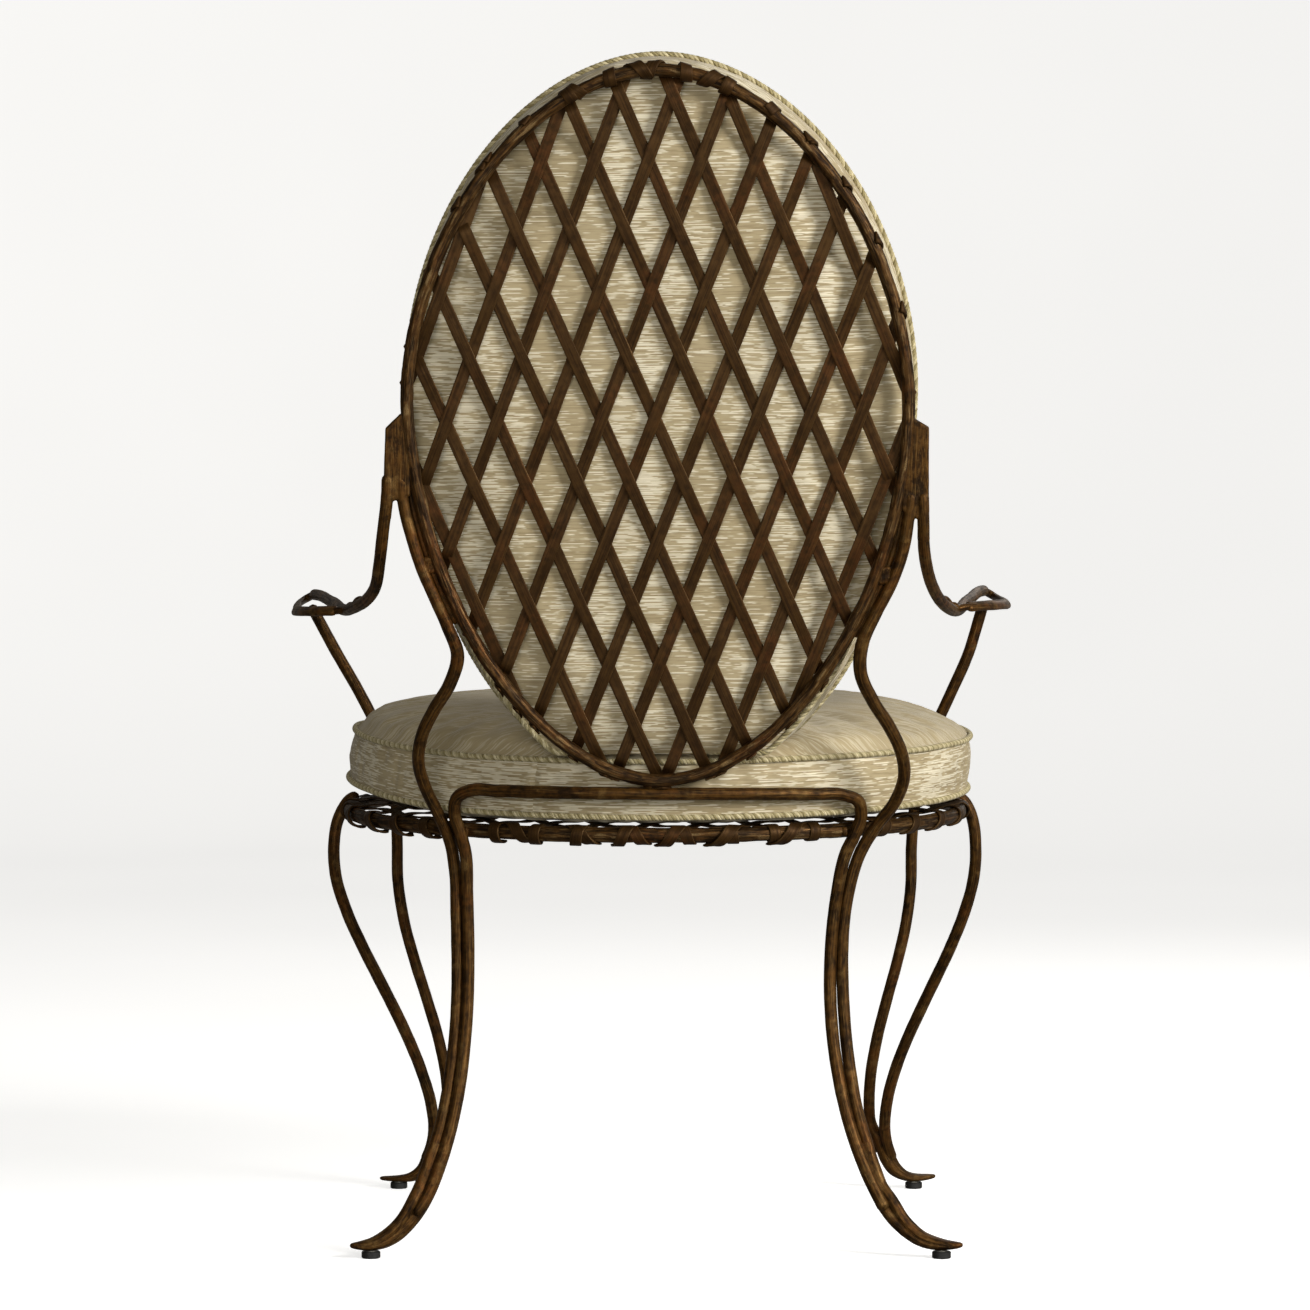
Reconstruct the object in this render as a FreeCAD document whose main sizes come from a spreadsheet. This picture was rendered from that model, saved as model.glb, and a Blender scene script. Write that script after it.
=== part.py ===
# Garden armchair with an oval lattice back, a round lattice seat, paired-rod
# legs, looped arms and two loose boxed cushions.  Millimetres, +Z up, origin on
# the floor under the middle of the chair, the sitter faces -Y, so +Y is the
# back of the chair and +X is the sitter's left.
import FreeCAD
import Part
import math
import os
from FreeCAD import Vector, Rotation, Placement

os.makedirs("parts", exist_ok=True)
doc = FreeCAD.newDocument("garden_armchair")

# ---------------------------------------------------------------- dimensions
DIMS = [
    ("seat_cy", -55.0, "Y of the seat ring's centre"),
    ("seat_cz", 401.3, "height of the seat ring's centre"),
    ("seat_slope", 2.0, "seat ring falls to the rear, degrees"),
    ("seat_radius", 299.0, "seat ring centre-line radius"),
    ("seat_bar", 14.0, "seat ring bar diameter"),
    ("back_cz", 787.0, "height of the back ring's widest point"),
    ("back_cy", 368.3, "seat-centred Y there"),
    ("back_recline", 8.0, "back ring leans to the rear, degrees"),
    ("back_half_width", 228.6, "back ring centre-line half width"),
    ("back_up", 302.0, "centre-line above the widest point"),
    ("back_down", 348.4, "centre-line below the widest point"),
    ("back_power", 1.85, "exponent of the ring's oval"),
    ("back_bar", 12.0, "back ring bar diameter"),
    ("strap_width", 11.0, "lattice strap width"),
    ("strap_thick", 1.8, "lattice strap thickness"),
    ("weave_lift", 1.15, "strap centre-line above and below the weave plane"),
    ("wrap_length", 9.0, "length of a strap end's wrap along its ring"),
    ("wrap_wall", 1.65, "wall of a strap end's wrap"),
    ("seat_pitch", 47.0, "seat strap spacing"),
    ("rail_rod", 11.5, "rail and inner rear leg rod"),
    ("upright_rod", 10.0, "outer rear leg rod and upright"),
    ("front_rod", 10.0, "front leg outer rod"),
    ("post_rod", 9.6, "front leg inner rod and arm post"),
    ("arm_rod", 10.0, "arm rod"),
    ("loop_wide", 11.0, "arm loop section width"),
    ("loop_thick", 7.0, "arm loop section thickness"),
    ("plate_thick", 9.0, "side plate thickness"),
    ("glide_d", 17.5, "glide diameter"),
    ("glide_high", 6.5, "glide pad height"),
    ("stud_d", 6.0, "glide stud diameter"),
    ("cushion_cz", 450.1, "height of the seat cushion's middle"),
    ("cushion_slope", 3.15, "seat cushion falls to the rear, degrees"),
    ("cushion_radius", 297.5, "seat cushion boxing radius"),
    ("boxing_half", 25.5, "half the distance between the welts"),
    ("crown", 37.0, "crown of the seat cushion above its welt"),
    ("sag", 22.0, "belly of the seat cushion under its welt"),
    ("welt_r", 3.8, "welt cord radius"),
    ("cloth", 2.5, "boxing strip with its lining"),
    ("pillow_half_width", 228.5, "back cushion boxing half width"),
    ("pillow_up", 301.8, "back cushion above its widest point"),
    ("pillow_down", 370.0, "back cushion below it, before it rests on the seat"),
    ("pillow_x", -5.2, "back cushion lies to the sitter's right of the ring"),
    ("pillow_y", 9.3, "back cushion's widest point above the ring's"),
    ("pillow_turn", 0.6, "back cushion turned in its plane, degrees"),
    ("pillow_rear", -20.0, "rear edge of the back cushion's boxing, from the ring plane"),
    ("pillow_front", -64.0, "front edge of the boxing"),
    ("pillow_crown", 20.0, "front crown of the back cushion"),
]
sheet = doc.addObject("Spreadsheet::Sheet", "dims")
for i, (alias, value, note) in enumerate(DIMS, start=1):
    sheet.set("A%d" % i, alias)
    sheet.set("B%d" % i, "%g" % value)
    sheet.set("C%d" % i, note)
    sheet.setAlias("B%d" % i, alias)
doc.recompute()
D = {alias: float(sheet.get(alias)) for alias, _, _ in DIMS}

SEAT_AT = Placement(Vector(0, D["seat_cy"], D["seat_cz"]), Rotation(Vector(1, 0, 0), -D["seat_slope"]))
CUSHION_AT = Placement(Vector(0, D["seat_cy"], D["cushion_cz"]), Rotation(Vector(1, 0, 0), -D["cushion_slope"]))
# The back's own frame: x across, y up the back, z to the rear.
BACK_AT = Placement(Vector(0, D["seat_cy"] + D["back_cy"], D["back_cz"]),
                    Rotation(Vector(1, 0, 0), 90.0 - D["back_recline"]))
BACK_AT = BACK_AT.multiply(Placement(Vector(), Rotation(Vector(0, 1, 0), 180.0)))
# In this frame x runs to the sitter's right, so lists of x are negated below.

NODES = []          # (label, object)


def keep(obj, label):
    obj.Label = label
    NODES.append((label, obj))
    return obj


def feature(name, shape):
    obj = doc.addObject("Part::Feature", name)
    obj.Shape = shape
    return obj


def biggest(shape):
    solids = shape.Solids
    return max(solids, key=lambda s: s.Volume) if solids else shape


# ------------------------------------------------------- smooth bent-rod paths
# A rod is bent bar: its centre line passes through measured points as a chain
# of circular arcs that meet without a kink.
def tangents(points, closed):
    n = len(points)
    out = []
    for i in range(n):
        if not closed and i in (0, n - 1):
            out.append(None)
            continue
        before, here, after = points[i - 1], points[i], points[(i + 1) % n]
        d1, d2 = here - before, after - here
        l1, l2 = d1.Length, d2.Length
        t = d1 * (l2 / l1) + d2 * (l1 / l2)
        t.normalize()
        out.append(t)
    if not closed:
        for end, nxt in ((0, 1), (n - 1, n - 2)):
            d = points[nxt] - points[end] if end == 0 else points[end] - points[nxt]
            d.normalize()
            t = d * (2 * d.dot(out[nxt])) - out[nxt]
            t.normalize()
            out[end] = t
    return out


def one_arc(start, direction, end):
    chord = end - start
    length = chord.Length
    unit = Vector(chord)
    unit.normalize()
    angle = math.acos(max(-1.0, min(1.0, direction.dot(unit))))
    if angle < 2e-4:
        return Part.LineSegment(start, end).toShape()
    d = (direction * math.sin(angle / 2) + unit * math.sin(angle / 2)) * (1 / math.sin(angle))
    return Part.Arc(start, start + d * (length / (2 * math.cos(angle / 2))), end).toShape()


def bent_path(points, closed=False):
    points = [Vector(*p) for p in points]
    tans = tangents(points, closed)
    edges = []
    count = len(points)
    for i in range(count if closed else count - 1):
        a, b = points[i], points[(i + 1) % count]
        ta, tb = tans[i], tans[(i + 1) % count]
        v, t = b - a, ta + tb
        q = 1 - ta.dot(tb)
        if q < 1e-6:
            d = v.Length / 4
        else:
            d = (-v.dot(t) + math.sqrt(v.dot(t) ** 2 + 2 * q * v.dot(v))) / (2 * q)
        middle = (a + ta * d + b - tb * d) * 0.5
        edges.append(one_arc(a, ta, middle))
        edges.append(one_arc(b, tb * -1, middle))
    return Part.Wire(Part.__sortEdges__(edges))


def moved(points):
    """Points measured from the seat's centre, in the chair's frame."""
    return [(x, y + D["seat_cy"], z) for x, y, z in points]


def mirrored(points):
    return [(-x, y, z) for x, y, z in points]


def rod(name, points, size, closed=False, flat=None, at=None):
    """A bar of round section, or flat=(width, thickness), swept on a bent path."""
    wire = bent_path(points, closed)
    if at is not None:
        wire = wire.copy()
        wire.Placement = at.multiply(wire.Placement)
        wire = Part.Wire(Part.__sortEdges__(wire.Edges))
    path = feature(name + "_path", wire)
    first = wire.OrderedEdges[0]
    start = wire.OrderedVertexes[0].Point
    if first.Orientation == "Forward":
        along = first.tangentAt(first.FirstParameter)
    else:
        along = first.tangentAt(first.LastParameter) * -1
    if flat is None:
        section = doc.addObject("Part::Circle", name + "_section")
        section.setExpression("Radius", "dims.%s / 2" % size)
        section.Placement = Placement(start, Rotation(Vector(0, 0, 1), along))
    else:
        section = doc.addObject("Part::Ellipse", name + "_section")
        section.setExpression("MajorRadius", "dims.%s / 2" % flat[0])
        section.setExpression("MinorRadius", "dims.%s / 2" % flat[1])
        across = along.cross(Vector(0, 0, 1))
        across.normalize()
        up = along.cross(across) * -1
        section.Placement = Placement(start, Rotation(across, up, along, "ZXY"))
    sweep = doc.addObject("Part::Sweep", name)
    sweep.Sections = [section]
    sweep.Spine = (path, ["Edge%d" % (k + 1) for k in range(len(wire.Edges))])
    sweep.Solid = True
    sweep.Frenet = False
    return sweep


def cut(name, base, tools):
    """Cut one tool after another."""
    for k, tool in enumerate(tools):
        obj = doc.addObject("Part::Cut", name if k == len(tools) - 1 else "%s_cut%d" % (name, k))
        obj.Base = base
        obj.Tool = tool
        base = obj
    return base


# --------------------------------------------------------------- the two rings
seat_ring = doc.addObject("Part::Torus", "seat_ring")
seat_ring.setExpression("Radius1", "dims.seat_radius")
seat_ring.setExpression("Radius2", "dims.seat_bar / 2")
seat_ring.Placement = SEAT_AT
keep(seat_ring, "seat_ring")


def oval(half_width, up, down, count=32, scale=1.0, z=0.0):
    """Points of the back's oval, widest at y = 0, in the back's own frame."""
    out = []
    for k in range(count):
        a = 2 * math.pi * k / count
        c, s = math.cos(a), math.sin(a)
        x = half_width * math.copysign(abs(c) ** (2 / D["back_power"]), c)
        y = (up if s > 0 else down) * math.copysign(abs(s) ** (2 / D["back_power"]), s)
        out.append((x * scale, y * scale, z))
    return out


RING = oval(D["back_half_width"], D["back_up"], D["back_down"])
back_ring = rod("back_ring", RING, "back_bar", closed=True, at=BACK_AT)
keep(back_ring, "back_ring")

# ------------------------------------------------------------ legs, arms, rail
LEFT_UPRIGHT = [
    (231.4, 355.7, 695.5), (226.2, 351.2, 666.2), (219.3, 347.4, 637.2), (208.2, 343.8, 609.5),
    (193.0, 339.5, 584.0), (182.1, 331.1, 557.5), (189.1, 320.6, 530.7), (203.7, 309.5, 506.8),
    (215.4, 296.1, 482.6), (219.9, 280.5, 457.5), (214.5, 264.6, 432.6), (203.6, 251.3, 408.0),
    (193.4, 242.2, 381.3), (188.9, 239.3, 351.9), (188.0, 239.1, 321.8), (187.3, 238.6, 291.7),
    (186.9, 239.4, 261.7), (187.3, 242.2, 231.8), (188.8, 246.6, 202.1), (191.7, 252.4, 172.7),
    (195.6, 259.2, 143.8), (201.4, 266.8, 115.5), (210.7, 275.3, 87.6), (221.0, 283.3, 62.0),
    (234.6, 289.6, 42.0)]
RIGHT_UPRIGHT = [
    (-230.4, 353.6, 679.2), (-225.3, 348.8, 649.9), (-215.1, 345.3, 621.8), (-201.5, 341.9, 595.1),
    (-189.5, 335.7, 568.3), (-188.5, 324.9, 540.5), (-200.1, 313.6, 515.2), (-215.3, 301.7, 492.0),
    (-227.2, 287.5, 468.3), (-231.0, 271.4, 443.3), (-222.8, 256.3, 418.9), (-206.2, 245.8, 396.1),
    (-191.3, 241.0, 370.5), (-182.4, 239.2, 341.8), (-177.3, 238.4, 312.1), (-175.2, 238.6, 282.1),
    (-175.3, 240.3, 252.0), (-176.6, 243.5, 222.0), (-179.0, 248.3, 192.4), (-182.7, 254.5, 163.1),
    (-188.3, 261.6, 134.4), (-196.8, 269.4, 106.3), (-206.5, 277.5, 79.3), (-219.4, 285.0, 54.2),
    (-232.2, 289.6, 37.6)]
LEFT_INNER = [
    (222.0, 292.3, 38.5), (213.0, 288.6, 51.5), (200.4, 280.0, 81.0), (188.4, 267.7, 122.1), (180.9, 257.6, 162.7),
    (176.8, 249.4, 204.4), (174.7, 243.8, 246.8), (174.6, 241.3, 289.5), (175.6, 242.7, 332.2),
    (176.9, 247.6, 372.0), (181.6, 250.7, 391.0), (187.0, 254.5, 410.0), (184.0, 260.5, 424.0),
    (172.0, 268.0, 430.8), (145.0, 281.5, 431.0), (100.0, 300.0, 430.6), (50.0, 312.2, 430.3)]
RIGHT_INNER = [
    (-50.0, 312.2, 429.6), (-100.0, 300.0, 429.0), (-147.0, 280.5, 428.0), (-176.0, 266.0, 426.5),
    (-189.5, 257.5, 420.0), (-192.3, 253.2, 408.0), (-186.4, 250.2, 389.5), (-178.3, 247.6, 372.0),
    (-169.9, 242.7, 332.5), (-165.0, 241.3, 289.5), (-163.5, 243.9, 246.2), (-165.6, 249.6, 203.4),
    (-171.4, 258.0, 161.2), (-180.9, 268.2, 120.2), (-194.8, 279.8, 80.8), (-213.2, 291.9, 43.6)]
LEFT_OUTER = [
    (295.5, -60.0, 411.5), (304.0, -60.1, 408.2), (311.6, -60.3, 398.5), (317.6, -60.9, 384.0),
    (320.6, -62.0, 364.0), (319.5, -68.7, 332.2), (309.3, -78.5, 295.5), (294.9, -90.2, 260.7),
    (279.3, -103.9, 227.2), (264.1, -119.2, 194.2), (250.1, -135.7, 161.2), (238.2, -152.8, 127.7),
    (229.4, -169.9, 93.3), (227.3, -187.4, 58.2), (237.0, -203.0, 29.0)]
RIGHT_OUTER = [
    (-295.5, -60.0, 411.5), (-304.0, -60.1, 408.2), (-310.8, -60.3, 398.5), (-315.4, -60.9, 384.0),
    (-317.6, -62.3, 364.0), (-316.6, -68.7, 332.1), (-308.1, -78.4, 295.5), (-295.5, -90.3, 260.8),
    (-281.3, -104.0, 227.4), (-267.0, -119.0, 194.6), (-253.6, -135.2, 162.0), (-242.4, -152.0, 128.8),
    (-234.8, -169.1, 94.9), (-233.5, -186.5, 60.3), (-242.0, -202.5, 30.5)]
LEFT_POST = [
    (349.8, -146.5, 601.5), (342.8, -148.2, 588.5), (323.4, -151.9, 552.3), (303.1, -155.7, 516.6), (284.7, -159.7, 479.9),
    (271.3, -164.1, 441.2), (264.8, -168.3, 400.7), (263.5, -171.2, 359.6), (262.7, -172.4, 318.3),
    (256.5, -173.8, 277.6), (245.9, -175.8, 237.8), (233.7, -178.7, 198.5), (222.4, -182.6, 159.0),
    (214.6, -187.9, 118.9), (213.2, -194.8, 78.3), (220.6, -203.1, 38.7)]
RIGHT_POST = [
    (-333.9, -147.0, 604.5), (-329.0, -148.2, 588.5), (-315.8, -152.1, 550.2), (-299.2, -156.1, 513.2), (-282.6, -160.2, 476.1),
    (-269.4, -164.5, 437.8), (-262.8, -168.6, 398.0), (-259.5, -171.2, 357.4), (-259.0, -172.4, 316.7),
    (-254.1, -173.8, 276.3), (-245.2, -175.8, 236.5), (-234.7, -178.8, 197.2), (-225.1, -182.8, 157.8),
    (-218.6, -188.1, 118.0), (-217.9, -194.9, 77.8), (-225.1, -203.1, 38.6)]
LEFT_ARM = [
    (244.2, 355.4, 695.5), (248.0, 348.0, 671.3), (253.1, 327.9, 643.2), (260.0, 300.6, 622.4),
    (269.4, 269.8, 608.9), (279.6, 237.1, 601.5), (288.7, 203.4, 598.5), (295.7, 169.0, 598.4),
    (301.3, 134.5, 600.0), (306.2, 99.8, 602.4), (311.0, 65.2, 604.3), (316.2, 30.5, 605.5),
    (321.4, -4.1, 606.9), (326.6, -38.8, 608.6), (332.3, -73.3, 610.4), (338.7, -107.8, 611.7),
    (346.1, -142.0, 612.3)]
RIGHT_ARM = [
    (-244.2, 352.5, 679.0), (-245.7, 337.8, 655.0), (-250.9, 313.9, 632.0), (-258.6, 285.7, 615.6),
    (-267.5, 255.0, 605.0), (-276.2, 223.0, 599.4), (-283.5, 190.2, 597.5), (-289.3, 157.1, 598.4),
    (-294.2, 123.8, 600.9), (-298.5, 90.6, 603.8), (-303.0, 57.3, 605.9), (-307.6, 24.0, 607.5),
    (-312.3, -9.3, 609.4), (-317.0, -42.6, 611.7), (-322.1, -75.8, 614.0), (-327.6, -108.9, 615.7),
    (-333.9, -142.0, 616.4)]
LEFT_LOOP = [
    (346.3, -142.4, 612.2), (350.3, -153.2, 610.6), (356.0, -155.4, 607.6), (360.0, -146.0, 604.6),
    (360.8, -126.0, 602.4), (359.6, -98.0, 601.4), (357.2, -65.5, 600.7), (355.6, -42.0, 600.2),
    (354.0, -18.4, 599.6), (352.4, 5.1, 599.1), (350.8, 28.7, 598.6), (349.1, 52.2, 598.1),
    (347.5, 75.7, 597.7), (345.8, 99.3, 597.3), (342.9, 122.7, 597.0), (337.3, 145.6, 596.8),
    (327.2, 166.9, 596.9), (312.1, 184.9, 597.2), (300.0, 193.6, 597.5)]
RIGHT_LOOP = [
    (-334.0, -142.4, 616.3), (-337.8, -153.2, 614.6), (-343.6, -155.4, 611.4), (-348.0, -146.0, 608.4),
    (-349.9, -126.0, 606.6), (-349.8, -98.0, 605.8), (-348.4, -66.2, 605.5), (-347.5, -42.7, 605.1),
    (-346.5, -19.2, 604.8), (-345.3, 4.2, 604.4), (-343.8, 27.7, 604.0), (-342.0, 51.1, 603.7),
    (-339.9, 74.5, 603.5), (-337.3, 97.9, 603.3), (-333.6, 121.1, 603.2), (-327.5, 143.8, 603.0),
    (-318.0, 165.2, 602.5), (-304.2, 184.1, 601.7), (-294.0, 193.5, 601.0)]
# The loop's last stretch: from the weld at the elbow it curls up and over.
LEFT_CURL = [(284.0, 202.5, 600.5), (281.5, 205.5, 604.5), (278.5, 209.5, 607.6), (274.6, 215.0, 607.0), (273.6, 219.0, 603.6)]
RIGHT_CURL = [(-279.0, 202.5, 600.5), (-276.5, 205.5, 604.8), (-273.2, 209.5, 608.2), (-269.2, 215.0, 607.6), (-268.0, 219.0, 604.2)]


def toe(name, stations):
    """A forged toe: oval sections, tall where the two rods run into it and
    flat over the glide, that thin out to a round tip."""
    centres = [Vector(x, y + D["seat_cy"], z) for x, y, z, _, _ in stations]
    sections = []
    for i, (_, _, _, deep, tall) in enumerate(stations):
        along = centres[min(len(centres) - 1, i + 1)] - centres[max(0, i - 1)]
        across = along.cross(Vector(0, 0, 1))
        across.normalize()
        normal = across.cross(along)
        normal.normalize()
        pts = []
        for k in range(12):
            a = 2 * math.pi * k / 12
            pts.append(centres[i] + across * (deep * math.cos(a)) + normal * (tall * math.sin(a)))
        curve = Part.BSplineCurve()
        curve.interpolate(Points=pts, PeriodicFlag=True)
        sections.append(feature("%s_s%d" % (name, i), Part.Wire(curve.toShape())))
    loft = doc.addObject("Part::Loft", name)
    loft.Sections = sections
    loft.Solid = True
    loft.Ruled = False
    return loft


# x, y, z of each section, then its half depth and half height.
REAR_TOE = [(221.8, 288.0, 45.6, 6.0, 10.8), (229.1, 290.0, 34.7, 6.4, 9.9), (240.2, 292.3, 23.2, 7.4, 9.0),
            (250.3, 294.3, 16.8, 8.2, 8.0), (261.0, 296.3, 13.0, 8.5, 6.0), (272.0, 299.3, 11.9, 7.3, 4.1),
            (281.4, 302.0, 12.3, 4.2, 2.3)]
REAR_TOE_R = [(-217.3, 287.6, 46.6, 6.0, 10.6), (-225.2, 289.8, 35.2, 6.4, 9.6), (-235.2, 292.0, 25.2, 7.4, 8.6),
              (-246.6, 294.3, 17.4, 8.2, 7.4), (-260.0, 296.3, 13.4, 8.5, 6.2), (-273.0, 299.3, 12.3, 7.3, 4.2),
              (-284.0, 302.0, 13.0, 4.2, 2.3)]
FRONT_TOE = [(226.0, -198.5, 50.0, 6.0, 9.4), (231.6, -201.5, 32.5, 6.4, 9.0), (240.5, -205.0, 18.0, 7.4, 7.0),
             (252.4, -208.6, 11.8, 8.2, 4.7), (264.5, -212.0, 10.2, 8.5, 3.2), (275.4, -216.0, 9.6, 7.3, 2.6),
             (284.0, -219.5, 9.6, 4.2, 1.8)]
FRONT_TOE_R = [(-231.6, -198.0, 50.0, 6.0, 9.0), (-237.0, -201.3, 33.5, 6.4, 8.6), (-245.0, -204.8, 20.5, 7.4, 7.4),
               (-255.6, -208.6, 13.4, 8.2, 5.4), (-267.0, -212.0, 11.1, 8.5, 4.1), (-278.0, -216.0, 11.2, 7.3, 3.1),
               (-287.4, -219.5, 12.0, 4.2, 2.0)]
GLIDES = [(262.4, 296.0), (-264.6, 296.8), (264.2, -211.9), (-266.8, -211.9)]

toes = {}
for label, pts in (("toe_rear_left", REAR_TOE), ("toe_rear_right", REAR_TOE_R),
                   ("toe_front_left", FRONT_TOE), ("toe_front_right", FRONT_TOE_R)):
    toes[label] = toe(label + "_forging", pts)
doc.recompute()

# Glides: a round pad on the floor, a flanged stud up into the toe.
pads, studs, stud_bores = [], [], []
for i, (x, y) in enumerate(GLIDES):
    at = Vector(x, y + D["seat_cy"], 0)
    pad = doc.addObject("Part::Cylinder", "glide_pad_%d" % i)
    pad.setExpression("Radius", "dims.glide_d / 2")
    pad.setExpression("Height", "dims.glide_high")
    pad.Placement = Placement(at, Rotation())
    soft = doc.addObject("Part::Chamfer", "glide_pad_%d_chamfered" % i)
    soft.Base = pad
    doc.recompute()
    rims = [k + 1 for k, e in enumerate(pad.Shape.Edges) if e.Closed]
    soft.Edges = [(k, 0.8, 0.8) for k in rims]
    pads.append(soft)
    flange = doc.addObject("Part::Cylinder", "glide_flange_%d" % i)
    flange.Radius = 5.5
    flange.Height = 0.7
    flange.Placement = Placement(at + Vector(0, 0, D["glide_high"]), Rotation())
    shank = doc.addObject("Part::Cylinder", "glide_shank_%d" % i)
    shank.setExpression("Radius", "dims.stud_d / 2")
    shank.Height = 5.5
    shank.Placement = Placement(at + Vector(0, 0, D["glide_high"]), Rotation())
    stud = doc.addObject("Part::Fuse", "glide_stud_%d" % i)
    stud.Base = flange
    stud.Tool = shank
    studs.append(stud)
    bore = doc.addObject("Part::Cylinder", "glide_bore_%d" % i)
    bore.setExpression("Radius", "dims.stud_d / 2 + 0.05")
    bore.Height = 14.0
    bore.Placement = Placement(at, Rotation())
    seatbore = doc.addObject("Part::Cylinder", "glide_seatbore_%d" % i)
    seatbore.Radius = 5.6
    seatbore.setExpression("Height", "dims.glide_high + 0.75")
    seatbore.Placement = Placement(at, Rotation())
    stud_bores.append((bore, seatbore))
for i, label in enumerate(("toe_rear_left", "toe_rear_right", "toe_front_left", "toe_front_right")):
    keep(cut(label, toes[label], list(stud_bores[i])), label)
glide_pads = doc.addObject("Part::Compound", "glide_pads")
glide_pads.Links = pads
keep(glide_pads, "glide_pads")
glide_studs = doc.addObject("Part::Compound", "glide_studs")
glide_studs.Links = studs
keep(glide_studs, "glide_studs")

# Rods, each coped where it meets what it is welded to.
rail_raw = rod("rail_raw", moved(LEFT_INNER + [(0.0, 316.0, 430.0)] + RIGHT_INNER), "rail_rod")
upright_raw = {"left": rod("upright_left_raw", moved(LEFT_UPRIGHT), "upright_rod"),
               "right": rod("upright_right_raw", moved(RIGHT_UPRIGHT), "upright_rod")}
outer_raw = {"left": rod("outer_left_raw", moved(LEFT_OUTER), "front_rod"),
             "right": rod("outer_right_raw", moved(RIGHT_OUTER), "front_rod")}
post_raw = {"left": rod("post_left_raw", moved(LEFT_POST), "post_rod"),
            "right": rod("post_right_raw", moved(RIGHT_POST), "post_rod")}
arm_raw = {"left": rod("arm_left_raw", moved(LEFT_ARM), "arm_rod"),
           "right": rod("arm_right_raw", moved(RIGHT_ARM), "arm_rod")}
loop_raw = {"left": rod("loop_left_raw", moved(LEFT_LOOP), None, flat=("loop_wide", "loop_thick")),
            "right": rod("loop_right_raw", moved(RIGHT_LOOP), None, flat=("loop_wide", "loop_thick"))}
curl_raw = {"left": rod("curl_left_raw", moved(LEFT_CURL), "loop_thick"),
            "right": rod("curl_right_raw", moved(RIGHT_CURL), "loop_thick")}
doc.recompute()
ring_clear = doc.addObject("Part::Torus", "seat_ring_clear")
ring_clear.setExpression("Radius1", "dims.seat_radius")
ring_clear.setExpression("Radius2", "dims.seat_bar / 2 + 0.05")
ring_clear.Placement = SEAT_AT

keep(cut("rear_rail_rod", rail_raw, [toes["toe_rear_left"], toes["toe_rear_right"], ring_clear]), "rear_rail_rod")
for side in ("left", "right"):
    keep(cut("rear_upright_" + side, upright_raw[side], [toes["toe_rear_" + side]]), "rear_upright_" + side)
    keep(cut("front_leg_outer_" + side, outer_raw[side], [toes["toe_front_" + side], ring_clear]), "front_leg_outer_" + side)
    keep(cut("front_leg_post_" + side, post_raw[side], [toes["toe_front_" + side], arm_raw[side], loop_raw[side]]), "front_leg_post_" + side)
    keep(arm_raw[side], "arm_rod_" + side)
    keep(cut("arm_loop_" + side, loop_raw[side], [arm_raw[side]]), "arm_loop_" + side)
    keep(cut("arm_curl_" + side, curl_raw[side], [arm_raw[side]]), "arm_curl_" + side)

# ------------------------------------------------------------ the strap lattice
# x at the reference height and lean (x gained per unit height) of each strap of
# the back, as counted from the sitter's left, in the chair's own x.
BACK_FALLING = [(244.8, 0.432), (199.0, 0.447), (151.4, 0.444), (103.4, 0.443), (56.7, 0.445), (7.5, 0.444),
                (-40.8, 0.441), (-88.4, 0.436), (-136.0, 0.436), (-183.6, 0.428), (-232.1, 0.408)]
BACK_RISING = [(229.4, -0.366), (181.8, -0.368), (136.0, -0.376), (88.4, -0.380), (41.7, -0.384), (-6.3, -0.392),
               (-52.6, -0.390), (-98.8, -0.391), (-146.0, -0.391), (-191.8, -0.386), (-237.6, -0.391)]
BACK_REF = 2.3
SEAT_REF = 0.0
lean = 3 * D["seat_pitch"] / D["seat_radius"]
SEAT_FALLING = [((k + 0.5) * D["seat_pitch"], lean) for k in range(-7, 7)]
SEAT_RISING = [((k + 0.5) * D["seat_pitch"], -lean) for k in range(-7, 7)]


def ribbon(me, others, ref, parity, z0, reach):
    """One flat strap, joggled over and under the straps that it crosses."""
    x0, m = me
    norm = math.hypot(1, m)
    half = D["strap_thick"] / 2
    marks = []
    for other, sign in zip(others, parity):
        dv = (other[0] - x0) / (m - other[1])
        marks.append((dv * norm, sign))
    marks.sort()
    line = []
    for u, sign in marks:
        line.append((u - 13.0, z0 + sign * D["weave_lift"]))
        line.append((u + 13.0, z0 + sign * D["weave_lift"]))
    line = [(-reach, line[0][1])] + [p for p in line if -reach < p[0] < reach] + [(reach, line[-1][1])]
    top = [(u, n + half) for u, n in line]
    bottom = [(u, n - half) for u, n in reversed(line)]
    along = Vector(m / norm, 1 / norm, 0)
    across = Vector(1 / norm, -m / norm, 0)
    origin = Vector(x0, ref, 0) - across * (D["strap_width"] / 2)
    pts = [origin + along * u + Vector(0, 0, n) for u, n in top + bottom]
    face = Part.Face(Part.makePolygon(pts + [pts[0]]))
    return face.extrude(across * D["strap_width"])


def closed(shape):
    """True if the shape's mesh has every edge on two triangles."""
    points, faces = shape.tessellate(0.2)
    seen, index = {}, []
    for p in points:
        index.append(seen.setdefault((round(p.x, 4), round(p.y, 4), round(p.z, 4)), len(seen)))
    count = {}
    for tri in faces:
        a, b, c = (index[i] for i in tri)
        if a == b or b == c or a == c:
            continue
        for e in ((a, b), (b, c), (c, a)):
            e = (min(e), max(e))
            count[e] = count.get(e, 0) + 1
    return all(n == 2 for n in count.values())


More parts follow.
